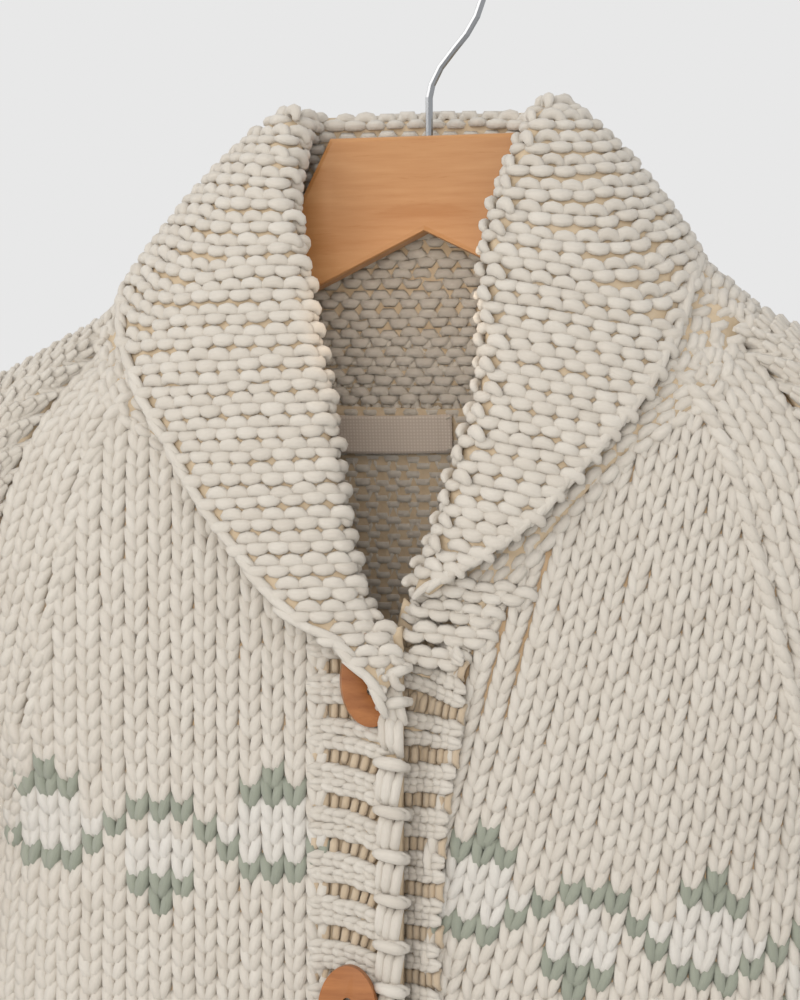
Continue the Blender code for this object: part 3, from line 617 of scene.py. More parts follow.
class Strand(enum.Enum):
    """The stretches of yarn that one stitch shows. Columns: share across, share up, out in mm, radius in mm."""

    LEG = (
        (0.05, -0.58, -0.5, 1.4),
        (0.125, -0.22, 0.9, 2.4),
        (0.235, 0.30, 1.2, 2.8),
        (0.335, 0.82, 0.1, 2.5),
        (0.40, 1.32, -2.2, 1.6),
    )
    LEG_FAR = (
        (0.09, -0.46, 0.0, 1.8),
        (0.23, 0.30, 1.2, 2.7),
        (0.37, 1.14, -1.3, 1.9),
    )
    CUP = (
        (-0.47, -0.02, -2.0, 1.7),
        (-0.41, -0.13, -0.4, 2.3),
        (-0.24, -0.235, 0.7, 2.7),
        (0.0, -0.265, 1.0, 2.85),
        (0.24, -0.235, 0.7, 2.7),
        (0.41, -0.13, -0.4, 2.3),
        (0.47, -0.02, -2.0, 1.7),
    )
    CROWN = (
        (0.03, -0.02, -2.0, 1.7),
        (0.09, 0.12, -0.5, 2.3),
        (0.26, 0.235, 0.5, 2.65),
        (0.50, 0.265, 0.8, 2.8),
        (0.74, 0.235, 0.5, 2.65),
        (0.91, 0.12, -0.5, 2.3),
        (0.97, -0.02, -2.0, 1.7),
    )
    CUP_FAR = (
        (-0.44, -0.04, -1.7, 1.7),
        (-0.2, -0.24, 0.9, 2.6),
        (0.2, -0.24, 0.9, 2.6),
        (0.44, -0.04, -1.7, 1.7),
    )
    CROWN_FAR = (
        (0.06, 0.0, -1.7, 1.7),
        (0.3, 0.24, 0.7, 2.6),
        (0.7, 0.24, 0.7, 2.6),
        (0.94, 0.0, -1.7, 1.7),
    )
    POST = (
        (0.0, -0.52, -1.6, 1.2),
        (0.0, -0.22, 0.3, 1.9),
        (0.0, 0.22, 0.3, 1.9),
        (0.0, 0.52, -1.6, 1.2),
    )
    BAR = (
        (-0.52, -0.05, -1.6, 1.6),
        (-0.3, 0.02, 0.5, 2.3),
        (0.1, 0.04, 1.1, 2.6),
        (0.42, 0.0, 0.4, 2.5),
        (0.56, -0.08, -1.8, 1.8),
    )
    LINK = (
        (-0.95, -0.28, -1.0, 1.7),
        (-0.5, -0.14, 0.4, 2.4),
        (0.0, 0.0, 0.8, 2.6),
        (0.5, 0.14, 0.4, 2.4),
        (0.95, 0.28, -1.0, 1.7),
    )

    def rows(self) -> Array:
        """The stretch as an array."""
        return np.array(self.value)


def placed(name: str, data: bpy.types.ID) -> bpy.types.Object:
    """An object of a mesh, a camera or a lamp, in the scene."""
    made = bpy.data.objects.new(name, data)
    bpy.context.scene.collection.objects.link(made)
    return made


LEGS_FAR = (Strand.LEG_FAR,)
BUMPS = (Strand.CUP, Strand.CROWN)
BUMPS_FAR = (Strand.CUP_FAR, Strand.CROWN_FAR)


class Yarn:
    """Lengths of yarn gathered into one mesh of closed tubes."""

    # how unevenly a hand knits: millimetres across, up and out, and a share of the thickness
    uneven = (0.27, 0.42, 0.22, 0.06)
    # how far a tube's end bulges, as a share of its radius
    bulge = 0.55
    # millimetres round the yarn on its map, and the length of spun yarn that a stretch is taken from
    around = 15.0
    spun = 400.0

    def __init__(self, seed: int, sides: int = 5) -> None:
        """Starts an empty mesh, with its own seed for the unevenness of hand knitting."""
        self.random = np.random.default_rng(seed)
        self.sides = sides
        self.count = 0
        # for each call of tubes: points, quads, corners, the maps of both, tones, and the looks of both
        self.laid: list[tuple[Array, ...]] = []

    def knit(self, spots: Spots, strand: Strand, mirror: bool = False, lift: float = 0.0, thick: float = 1.0,
             sides: Optional[int] = None, flat: float = 0.8, fill: float | Array = 1.0) -> None:
        """Lays one stretch of yarn at each place.

        Args:
            spots: The places.
            strand: The stretch.
            mirror: True to lay its mirror image.
            lift: How far out of the form's middle it lies.
            thick: A share of its thickness.
            sides: How many sides its tube has.
            flat: How flat it is pressed, as a share of its thickness.
            fill: A share of the thickness for each place.
        """
        rows = strand.rows()
        count = len(spots.centre)
        if not count:
            return
        wobble = self.random.normal(0, 1, (count, 4)) * self.uneven
        x = (-rows[:, 0] if mirror else rows[:, 0])[None] * spots.width[:, None] + wobble[:, :1]
        y = rows[:, 1][None] * spots.height[:, None] + wobble[:, 1:2]
        z = rows[:, 2][None] * thick + lift + wobble[:, 2:3]
        paths = (spots.centre[:, None] + x[..., None] * spots.across[:, None]
                 + y[..., None] * spots.up[:, None] + z[..., None] * spots.out[:, None])
        radii = rows[:, 3][None] * thick * (1 + wobble[:, 3:4]) * np.reshape(fill, (-1, 1))
        self.tubes(paths, radii, np.broadcast_to(spots.out[:, None], paths.shape), spots.look, sides, flat)

    def knit_both(self, spots: Spots, strands: Sequence[Strand], **ways: float) -> None:
        """Lays both halves of each stitch: two strands, or one strand and its mirror image."""
        for number, strand in enumerate(strands if len(strands) > 1 else strands * 2):
            self.knit(spots, strand, mirror=len(strands) == 1 and number == 1, **ways)

    def stocking(self, spots: Spots, near: Array, far_sides: int, fill: float | Array = 1.0) -> None:
        """Lays the two legs of plain stitches, in more detail where they are near the camera.

        Args:
            spots: The places.
            near: Which of them are near.
            far_sides: How many sides the yarn of the others has.
            fill: A share of the thickness, one for all or one each.
        """
        fill = np.broadcast_to(fill, near.shape)
        for mirror in (False, True):
            self.knit(spots.chosen(near), Strand.LEG, mirror=mirror, fill=fill[near])
            self.knit(spots.chosen(~near), Strand.LEG_FAR, mirror=mirror, sides=far_sides, fill=fill[~near])

    def tubes(self, paths: Array, radii: Array, outs: Array, look: Array, sides: Optional[int] = None,
              flat: float = 1.0) -> None:
        """Adds closed tubes that follow paths.

        Args:
            paths: Points, (tubes, rings, 3).
            radii: The radius at each point.
            outs: The way out of the cloth at each point.
            look: The yarn of each tube.
            sides: How many sides each tube has.
            flat: How flat it is pressed, as a share of its thickness.
        """
        sides = sides or self.sides
        count, rings = paths.shape[:2]
        forward = unit(np.gradient(paths, axis=1))
        beside = unit(np.cross(forward, outs))
        above = np.cross(beside, forward)
        turn = -math.pi / 2 + 2 * math.pi * np.arange(sides) / sides
        circle = (beside[:, :, None] * np.cos(turn)[None, None, :, None]
                  + above[:, :, None] * flat * np.sin(turn)[None, None, :, None])
        body = paths[:, :, None] + circle * radii[:, :, None, None]
        start = paths[:, 0] - forward[:, 0] * radii[:, :1] * self.bulge
        end = paths[:, -1] + forward[:, -1] * radii[:, -1:] * self.bulge
        points = np.concatenate([body.reshape(count, -1, 3), start[:, None], end[:, None]], axis=1)
        each = rings * sides + 2
        base = self.count + np.arange(count)[:, None, None, None] * each
        r, s = np.meshgrid(np.arange(rings - 1), np.arange(sides), indexing="ij")
        n = (s + 1) % sides
        quad = np.stack([r * sides + s, r * sides + n, (r + 1) * sides + n, (r + 1) * sides + s], axis=-1)
        s, n, last = s[0], n[0], (rings - 1) * sides
        caps = np.concatenate([
            np.stack([np.full(sides, rings * sides), n, s], axis=-1),
            np.stack([np.full(sides, rings * sides + 1), last + s, last + n], axis=-1),
        ])
        length = rows_travelled(paths) + self.random.uniform(0, self.spun, (count, 1))
        u = length[:, :, None] + np.zeros(sides + 1)
        v = np.broadcast_to(np.arange(sides + 1) / sides * self.around, u.shape)
        flat = np.stack([u, v], axis=-1)
        maps = np.stack([flat[:, :-1, :-1], flat[:, :-1, 1:], flat[:, 1:, 1:], flat[:, 1:, :-1]], axis=3)
        ends = []
        for ring, turned in ((0, -1), (rings - 1, 1)):
            pair = [flat[:, ring, :-1], flat[:, ring, 1:]]
            ends.append(np.stack([sum(pair) / 2, *pair[::turned]], axis=2))
        tone = np.clip(self.random.normal(0.5, 0.2, count), 0, 1)
        self.laid.append((
            points.reshape(-1, 3),
            (quad[None] + base).reshape(-1, 4),
            (caps[None] + base[:, 0]).reshape(-1, 3),
            maps.reshape(-1, 2),
            np.concatenate(ends, axis=1).reshape(-1, 2),
            np.repeat(tone, each),
            np.repeat(look, (rings - 1) * sides),
            np.repeat(look, 2 * sides),
        ))
        self.count += count * each

    def made(self, name: str, finishes: Sequence[bpy.types.Material]) -> bpy.types.Object:
        """Turns what was laid into one object.

        Args:
            name: The piece's name.
            finishes: The materials that the looks choose from.

        Returns:
            The piece, riding on the body of the garment.
        """
        points, quads, corners, maps, corner_maps, tones, looks, corner_looks = map(np.concatenate, zip(*self.laid))
        mesh = bpy.data.meshes.new(name)
        mesh.vertices.add(len(points))
        mesh.vertices.foreach_set("co", (points * MM).astype(np.float32).ravel())
        loops = np.concatenate([quads.ravel(), corners.ravel()])
        mesh.loops.add(len(loops))
        mesh.loops.foreach_set("vertex_index", loops.astype(np.int32))
        starts = np.concatenate([np.arange(len(quads)) * 4, len(quads) * 4 + np.arange(len(corners)) * 3])
        mesh.polygons.add(len(starts))
        mesh.polygons.foreach_set("loop_start", starts.astype(np.int32))
        mesh.polygons.foreach_set("material_index", np.concatenate([looks, corner_looks]).astype(np.int32))
        mesh.update(calc_edges=True)
        flat = mesh.uv_layers.new(name="yarn")
        flat.data.foreach_set("uv", np.concatenate([maps, corner_maps]).astype(np.float32).ravel())
        tone = mesh.attributes.new("tone", "FLOAT", "POINT")
        tone.data.foreach_set("value", tones.astype(np.float32))
        mesh.shade_smooth()
        for finish in finishes:
            mesh.materials.append(finish)
        piece = placed(name, mesh)
        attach(piece, "root")
        LOG.info("%s: %d triangles", name, 2 * len(quads) + len(corners))
        return piece


def linear(colour: str) -> tuple[float, float, float, float]:
    """An sRGB hex colour as linear values."""
    parts = [int(colour[i : i + 2], 16) / 255 for i in (1, 3, 5)]
    return (*[p / 12.92 if p <= 0.04045 else ((p + 0.055) / 1.055) ** 2.4 for p in parts], 1.0)


def node(tree: bpy.types.NodeTree, kind: str, settings: Optional[dict] = None,
         links: Optional[dict] = None) -> bpy.types.Node:
    """Adds a node.

    Args:
        tree: The material's tree.
        kind: Blender's name for the node.
        settings: Its properties and the values of its inputs, by name or number.
        links: The outputs that feed its inputs, by name or number.

    Returns:
        The node.
    """
    made = tree.nodes.new(kind)
    for name, value in (settings or {}).items():
        if isinstance(name, str) and hasattr(made, name):
            setattr(made, name, value)
        else:
            made.inputs[name].default_value = value
    for name, output in (links or {}).items():
        tree.links.new(output, made.inputs[name])
    return made


def blank(name: str) -> tuple[bpy.types.Material, bpy.types.NodeTree, bpy.types.Node]:
    """A new material, its tree and its Principled shader."""
    made = bpy.data.materials.new(name)
    made.use_nodes = True
    return made, made.node_tree, made.node_tree.nodes["Principled BSDF"]


def two_tones(tree: bpy.types.NodeTree, shader: bpy.types.Node, share: bpy.types.NodeSocket, dark: str,
              light: str) -> None:
    """Colours a material between two colours, by a share."""
    mix = node(tree, "ShaderNodeMix", {"data_type": "RGBA", 6: linear(dark), 7: linear(light)}, {0: share})
    tree.links.new(mix.outputs[2], shader.inputs["Base Color"])


def bumps(tree: bpy.types.NodeTree, shader: bpy.types.Node, height: bpy.types.NodeSocket, strength: float,
          distance: float) -> None:
    """Roughens a material's surface, by a height."""
    bump = node(tree, "ShaderNodeBump", {"Strength": strength, "Distance": distance}, {"Height": height})
    tree.links.new(bump.outputs[0], shader.inputs["Normal"])


def settle(shader: bpy.types.Node, **values: float) -> None:
    """Sets inputs of the shader, named in lower case with underscores."""
    names = {name.lower().replace(" ", "_"): name for name in shader.inputs.keys()}
    for name, value in values.items():
        shader.inputs[names[name]].default_value = value


@dataclass(frozen=True)
class Wool:
    """Soft single-ply wool, hand spun: matt, with long fibres that lie along the yarn and a faint halo."""

    name: str
    light: str
    dark: str
    sheen: float = 0.25

    def material(self) -> bpy.types.Material:
        """Builds the material from the yarn's own map and tone. Fine loose fibres break up its surface."""
        made, tree, shader = blank(self.name)
        tone = node(tree, "ShaderNodeAttribute", {"attribute_name": "tone"})
        flat = node(tree, "ShaderNodeUVMap", {"uv_map": "yarn"})
        stretch = node(tree, "ShaderNodeMapping", {"Scale": (0.16, 1.0, 1.0)}, {"Vector": flat.outputs[0]})
        fibre = node(tree, "ShaderNodeTexNoise", {"Scale": 1.3, "Detail": 4.0, "Roughness": 0.65},
                     {"Vector": stretch.outputs[0]})
        blend = node(tree, "ShaderNodeMath", {"operation": "MULTIPLY_ADD", 1: 0.5, 2: 0.0},
                     {0: fibre.outputs["Fac"]})
        total = node(tree, "ShaderNodeMath", {"operation": "MULTIPLY_ADD", 1: 0.5},
                     {0: tone.outputs["Fac"], 2: blend.outputs[0]})
        two_tones(tree, shader, total.outputs[0], self.dark, self.light)
        loose = node(tree, "ShaderNodeTexNoise", {"Scale": 2.6, "Detail": 3.0, "Roughness": 0.7},
                     {"Vector": flat.outputs[0]})
        height = node(tree, "ShaderNodeMath", {"operation": "ADD"}, {0: fibre.outputs["Fac"], 1: loose.outputs["Fac"]})
        bumps(tree, shader, height.outputs[0], 0.55, 0.0011)
        settle(shader, roughness=0.95, ior=1.45, specular_ior_level=0.2, sheen_weight=self.sheen, sheen_roughness=0.5)
        return made


def sheet_mesh(name: str, grid: Array, normals: Array, outer: float, inner: float, finish: bpy.types.Material,
               ring: bool = False) -> bpy.types.Object:
    """A thin closed shell on both sides of a grid.

    Args:
        name: The piece's name.
        grid: Points in rows and columns.
        normals: The way out at each point.
        outer: How far out the outer face lies, one value or one for each point.
        inner: How far in the inner face lies.
        finish: Its material.
        ring: True where the last column joins the first.

    Returns:
        The piece, riding on the body of the garment.
    """
    rows, columns = grid.shape[:2]
    lift = np.broadcast_to(outer, (rows, columns))
    points = np.vstack([(grid + normals * lift[..., None]).reshape(-1, 3), (grid - normals * inner).reshape(-1, 3)])
    behind = rows * columns
    r, c = np.meshgrid(np.arange(rows - 1), np.arange(columns if ring else columns - 1), indexing="ij")
    a, b = r * columns + c, r * columns + (c + 1) % columns
    front = np.stack([a, b, b + columns, a + columns], axis=-1).reshape(-1, 4)
    faces = [front, front[:, ::-1] + behind]
    c = np.arange(columns if ring else columns - 1)
    n = (c + 1) % columns
    last = (rows - 1) * columns
    faces.append(np.stack([c, behind + c, behind + n, n], axis=-1))
    faces.append(np.stack([last + c, last + n, behind + last + n, behind + last + c], axis=-1))
    if not ring:
        a = np.arange(rows - 1) * columns
        faces.append(np.stack([a, a + columns, behind + a + columns, behind + a], axis=-1))
        a = a + columns - 1
        faces.append(np.stack([a, behind + a, behind + a + columns, a + columns], axis=-1))
    mesh = bpy.data.meshes.new(name)
    mesh.from_pydata((points * MM).tolist(), [], np.concatenate(faces).tolist())
    made = bmesh.new()
    made.from_mesh(mesh)
    bmesh.ops.recalc_face_normals(made, faces=made.faces)
    if made.calc_volume(signed=True) < 0:
        bmesh.ops.reverse_faces(made, faces=made.faces)
    made.to_mesh(mesh)
    made.free()
    mesh.shade_smooth()
    mesh.materials.append(finish)
    piece = placed(name, mesh)
    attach(piece, "root")
    return piece


@dataclass(frozen=True)
class Shade:
    """The wool seen deep between the stitches: the same yarn painted darker and warmer as painted shade, with small
    uneven bumps.
    """

    name: str = "wool ground in painted shade"
    # the two colours of the painted shade, darker and warmer than the yarn itself
    light: str = "#CDB698"
    dark: str = "#B09270"

    def material(self) -> bpy.types.Material:
        """Builds the material from Object coordinates."""
        made, tree, shader = blank(self.name)
        place = node(tree, "ShaderNodeTexCoord")
        noise = node(tree, "ShaderNodeTexNoise", {"Scale": 160.0, "Detail": 3.0}, {"Vector": place.outputs["Object"]})
        two_tones(tree, shader, noise.outputs["Fac"], self.dark, self.light)
        bumps(tree, shader, noise.outputs["Fac"], 0.6, 0.002)
        settle(shader, roughness=0.95, specular_ior_level=0.1)
        return made


@dataclass
class Gauge:
    """How the wool knits up: a stitch, a row in two colours, a garter ridge and the strip by a raglan seam."""

    width: float = 9.45
    height: float = 6.95
    coloured: float = 8.0
    ridge: float = 9.6
    ridge_stitch: float = 9.2
    raglan_band: float = 31.0
    raglan_start: float = 15.0

    def strip(self, body: BodyForm, v: Array) -> Array:
        """How wide the strip beside a raglan seam is at heights v: nothing below the armpit."""
        return self.raglan_band * np.clip((v - body.armpit + self.raglan_start) / self.raglan_start, 0, 1)


def raglan_wales(body: BodyForm, chart: Chart, side: int, gauge: Gauge,
                 shares: Sequence[float] = (1 / 6, 0.5, 5 / 6)) -> list[Spots]:
    """Places for the wales that run up beside a raglan seam and lean with it.

    Args:
        body: The form of the body.
        chart: The face laid out flat.
        side: -1 or 1 for the seam at x below or above 0.
        gauge: The size of a stitch.
        shares: How far across their strip the wales lie, from the seam inwards.

    Returns:
        The places of each wale.
    """
    z = np.arange(body.armpit, body.raglan_top - 4, 1.0)
    edge = chart.ends(z)[0 if side < 0 else 1]
    wales = []
    for share in shares:
        flat = np.stack([edge - side * (1.5 + share * gauge.raglan_band), z], axis=-1)
        far = travelled(flat)
        u, v = sampled(np.arange(2, far[-1], gauge.height), far, flat).T
        lean = -np.arctan2(np.gradient(u), np.gradient(v))
        wales.append(chart.spots(u, v, lean, gauge.raglan_band / 3, gauge.height))
    return wales


@dataclass
class Motif:
    """The green border: a wave with a crown over each dip and a heart under each arch.

    Columns are counted from the middle of a crown and rows downwards from its tip.
    """

    repeat: int = 10
    green: tuple[tuple[int, ...], ...] = (
        (0,),
        (-1, 0, 1),
        (4, 5, 6),
        (3, 7),
        (2, 8),
        (-1, 0, 1),
        (4, 5, 6),
        (5,),
    )
    white: tuple[tuple[int, ...], ...] = (
        (),
        (),
        (-1, 0, 1),
        (-2, -1, 0, 1, 2, 5),
        (-1, 0, 1, 4, 5, 6),
        (4, 5, 6),
        (),
        (),
    )

    def look(self, column: Array, row: Array) -> Array:
        """The yarn of each stitch: 0 natural, 1 green and 2 white."""
        found = np.zeros(len(column), int)
        for line in range(len(self.green)):
            for value, places in ((1, self.green[line]), (2, self.white[line])):
                for place in places:
                    found[(row == line) & ((column - place) % self.repeat == 0)] = value
        return found


@dataclass
class Front:
    """One front: plain knitting with the green border, and three wales beside the raglan seam that lean with it."""

    body: BodyForm
    side: int
    grain: float
    motif_u: float
    motif_z: float
    gauge: Gauge
    motif: Motif
    stretch: float = 0.0
    fine_above: float = -472.0
    seam_share: float = 1.06
    wall: float = 2.3
    # the lean at the middle, as a share of the grain, how much less it is further out, and how far out
    fan: tuple[float, float, float] = (1.4, 0.9, 160.0)
    spread: float = 0.0056
    reach: float = 200.0
    # wales each way from the border's middle, and rows from its top, that the chart tries
    most: int = 40
    charted: tuple[int, int] = (-60, 110)
    shell_columns: int = 26

    def chart(self) -> Chart:
        """The front laid out flat, u from the middle of the garment."""
        heights = self.body.heights()
        rows, arcs = [], []
        for z in heights:
            line = self.body.curve(-1, self.side, z)
            far = travelled(line) * self.side
            rows.append(line if self.side > 0 else line[::-1])
            arcs.append(far if self.side > 0 else far[::-1])
        return Chart.of_rows(rows, arcs, heights, FRONT)

    def reaches(self, chart: Chart, v: Array) -> tuple[Array, Array]:
        """Distances from the middle, at heights v, of the inner edge and of the seam."""
        known = self.body.heights()
        inner = []
        for z in known:
            line = self.body.curve(-1, self.side, z)
            inner.append(np.interp(self.body.inner_x(self.side, z), np.abs(line[:, 0]), travelled(line)))
        first, last = chart.ends(v)
        return np.interp(v, known, inner), np.maximum(np.abs(first), np.abs(last))

    def stitches(self, chart: Chart) -> Spots:
        """Every stitch of the front."""
        w, h = self.gauge.width, self.gauge.height
        lean = math.radians(self.grain)
        column, row = flat_grid(np.arange(-self.most, self.most + 1), np.arange(*self.charted))
        tall = np.clip(row, 0, len(self.motif.green)) * (self.gauge.coloured - h)
        x, y = column * w, -row * h - tall
        most, less, width = self.fan
        slant = lean * (most - less * np.clip(np.abs(x) / width, 0, 1))
        u = self.motif_u + x * math.cos(lean) - y * np.sin(slant)
        v = self.motif_z + x * math.sin(lean) + y * np.cos(slant)
        stretched = self.stretch * np.clip(np.abs(u) / self.reach, 0, 1) ** 2
        wide = 1 + stretched + y * lean * self.spread
        u = u * (1 + stretched / 3)
        inner, seam = self.reaches(chart, v)
        from_middle, edge = np.abs(u), 0.1 * w
        keep = (v > self.body.rib_top + 2) & (v < self.body.raglan_top) & (u * self.side > 0)
        keep &= (from_middle > inner - edge) & (from_middle < seam - edge - self.gauge.strip(self.body, v))
        u, v, column, row, wide, slant = [values[keep] for values in (u, v, column, row, wide, slant)]
        plain = chart.spots(u, v, slant, w, h, self.motif.look(column, row))
        plain.width = w * wide
        plain.height = np.where((row >= 0) & (row < len(self.motif.green)), self.gauge.coloured, h)
        return Spots.joined([plain] + raglan_wales(self.body, chart, self.side, self.gauge))

    def build(self, yarns: Sequence[bpy.types.Material], ground: bpy.types.Material) -> None:
        """Makes the front's ground and its stitches."""
        chart = self.chart()
        spots = self.stitches(chart)
        yarn = Yarn(seed=11 + self.side)
        yarn.stocking(spots, spots.centre[:, 2] > self.fine_above, 4, spots.width / self.gauge.width)
        seam = raglan_wales(self.body, chart, self.side, self.gauge, [self.seam_share])[0]
        yarn.knit(seam, Strand.LEG, mirror=self.side > 0, lift=0.9, thick=1.1)
        node = f"front_{side_name(self.side)}"
        stitched = yarn.made(f"{node}_stitches", yarns)
        heights = np.linspace(self.body.raglan_top - 0.5, self.body.rib_top + 0.5, 70)
        shares = np.linspace(0.004, 0.996, self.shell_columns)
        grid = np.array([self.body.strip(-1, self.side, z, self.body.inner_x(self.side, z), shares) for z in heights])
        normals = own_normals(grid, FRONT)
        normals[0] = normals[0, -1]
        cover(node, f"{node}_cloth", grid, normals, 0.0, self.wall, ground)


def cover(node: str, name: str, grid: Array, normals: Array, lift: float | Array, inner: float,
          ground: bpy.types.Material, ring: bool = False) -> None:
    """Args:
        node: The solid that it stands for.
        name: The cloth's name.
        grid: Its points in rows and columns.
        normals: The way out at each point.
        lift: How far out its outer face lies, one value or one for each point.
        inner: How far in its inner face lies.
        ground: Its material.
        ring: True where the last column joins the first.
    """
    cloth = sheet_mesh(name, grid, normals, lift, inner, ground, ring=ring)
    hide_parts(node)
    length = max(travelled(column)[-1] for column in grid.transpose(1, 0, 2)) * MM


@dataclass
class Back:
    """The back panel: plain knitting outside and its purl side within."""

    body: BodyForm
    gauge: Gauge
    purl_columns: int = 9
    purl_foot: float = -360.0
    purl_top: float = -206.0
    wall: float = 1.8

    def chart(self) -> Chart:
        """The back laid out flat, u from the middle of the garment."""
        heights = self.body.heights()
        rows, arcs = [], []
        for z in heights:
            low, high = self.body.curve(1, -1, z), self.body.curve(1, 1, z)
            rows.append(np.vstack([low[:0:-1], high]))
            arcs.append(np.concatenate([-travelled(low)[:0:-1], travelled(high)]))
        return Chart.of_rows(rows, arcs, heights, -FRONT)

    def neck_z(self, u: Array) -> Array:
        """Height of the back neck edge at distances from the middle."""
        return np.array([smooth(self.body.neck_back, 1, abs(value)) for value in u])

    def build(self, yarns: Sequence[bpy.types.Material], ground: bpy.types.Material) -> None:
        """Makes the back's ground, its stitches and the purl bumps inside the neck."""
        chart = self.chart()
        w, h = self.gauge.width, self.gauge.height
        u, v = flat_grid(np.arange(-24, 25) * w, np.arange(self.body.rib_top + 3, self.body.raglan_top, h))
        low, high = chart.ends(v)
        strip = self.gauge.strip(self.body, v)
        keep = (u > low + 0.35 * w + strip) & (u < high - 0.35 * w - strip) & (v < self.neck_z(u) - 4)
        spots = [chart.spots(u[keep], v[keep], 0.0, w, h)]
        for side in (-1, 1):
            spots += raglan_wales(self.body, chart, side, self.gauge)
        spots = Spots.joined(spots)
        yarn = Yarn(seed=21, sides=3)
        yarn.knit_both(spots, LEGS_FAR)
        outside = yarn.made("back_stitches", yarns)
        u, v = flat_grid(np.arange(-self.purl_columns, self.purl_columns) * w,
                         np.arange(self.purl_foot, self.purl_top, h))
        inside = chart.spots(u, v, 0.0, w, h * 1.25, outer=False)
        yarn = Yarn(seed=22)
        yarn.knit_both(inside, BUMPS_FAR, lift=0.4, thick=0.85)
        bumps = yarn.made("back_purl_side", yarns)
        rows = np.concatenate([np.linspace(self.body.raglan_top, self.body.armpit, 26),
                               np.linspace(self.body.armpit, self.body.rib_top + 0.5, 40)[1:]])
        grid = np.array([self.body.back_row(z, 18) for z in rows])
        normals = own_normals(grid, -FRONT)
        cover("back_panel", "back_cloth", grid, normals, 0.0, self.wall, ground)


@dataclass
class Sleeve:
    """One sleeve, knitted from the wrist to the neck."""

    body: BodyForm
    side: int
    gauge: Gauge
    wall: float = 2.0
    # the sleeve is in the camera's view above this z, before this y and within this x
    fine: tuple[float, float, float] = (-345.0, 20.0, 215.0)

    def build(self, yarns: Sequence[bpy.types.Material], ground: bpy.types.Material) -> None:
        """Makes the sleeve's ground and its stitches."""
        form = SleeveForm(self.body, self.side)
        grid = refine(form.sections(), 4)
        middle = grid.shape[1] // 2
        down = travelled(grid[:, middle])
        arcs = []
        for row in grid:
            far = travelled(row)
            arcs.append(far - far[middle])
        chart = Chart.of_rows(grid[::-1], arcs[::-1], -down[::-1], np.array([self.side * 1.0, 0.0, 0.3]))
        w, h = self.gauge.width * 0.95, self.gauge.height
        u, v = flat_grid((np.arange(-20, 20) + 0.5) * w, np.arange(-down[-1] + 3, -0.5, h))
        low, high = chart.ends(v)
        keep = (u > low + 0.3 * w) & (u < high - 0.3 * w)
        spots = chart.spots(u[keep], v[keep], 0.0, w, h)
        low, front, reach = self.fine
        near = (spots.centre[:, 2] > low) & (spots.centre[:, 1] < front) & (np.abs(spots.centre[:, 0]) < reach)
        yarn = Yarn(seed=31 + self.side)
        yarn.stocking(spots, near, 3)
        node = f"sleeve_{side_name(self.side)}"
        stitched = yarn.made(f"{node}_stitches", yarns)
        coarse = refine(form.sections(columns=33), 2)
        normals = own_normals(coarse)
        cover(node, f"{node}_cloth", coarse, normals, 0.0, self.wall, ground)


def contours(level: Array, value: float) -> list[Array]:
    """Lines along which a grid of levels has one value.

    Args:
        level: The levels, in rows and columns.
        value: The value to follow.

    Returns:
        Each line's places in rows and columns.
    """
    above = level > value
    beside: dict[tuple, list[tuple]] = {}
    cells = above[:-1, :-1].astype(int) + above[1:, :-1] + above[:-1, 1:] + above[1:, 1:]
    for r, c in zip(*np.nonzero((cells > 0) & (cells < 4))):
        sides = [("h", r, c), ("v", r, c + 1), ("h", r + 1, c), ("v", r, c)]
        ends = [(above[r, c], above[r, c + 1]), (above[r, c + 1], above[r + 1, c + 1]),
                (above[r + 1, c], above[r + 1, c + 1]), (above[r, c], above[r + 1, c])]
        met = [side for side, (one, two) in zip(sides, ends) if one != two]
        for one, two in zip(met[::2], met[1::2]):
            beside.setdefault(one, []).append(two)
            beside.setdefault(two, []).append(one)
    lines, seen = [], set()
    for first in sorted(beside, key=lambda edge: len(beside[edge])):
        if first in seen:
            continue
        line = [first]
        seen.add(first)
        while True:
            onward = [edge for edge in beside[line[-1]] if edge not in seen]
            if not onward:
                break
            line.append(onward[0])
            seen.add(onward[0])
        places = []
        for kind, r, c in line:
            one = level[r, c]
            two = level[r, c + 1] if kind == "h" else level[r + 1, c]
            t = (value - one) / (two - one)
            places.append((r, c + t) if kind == "h" else (r + t, c))
        lines.append(np.array(places))
    return lines


def read_grid(grid: Array, places: Array) -> Array:
    """Values of a grid between its rows and columns."""
    r, c = np.clip(places[:, 0], 0, grid.shape[0] - 1.001), np.clip(places[:, 1], 0, grid.shape[1] - 1.001)
    i, j = r.astype(int), c.astype(int)
    s, t = (r - i).reshape(-1, *[1] * (grid.ndim - 2)), (c - j).reshape(-1, *[1] * (grid.ndim - 2))
    return (grid[i, j] * (1 - s) * (1 - t) + grid[i + 1, j] * s * (1 - t)
            + grid[i, j + 1] * (1 - s) * t + grid[i + 1, j + 1] * s * t)


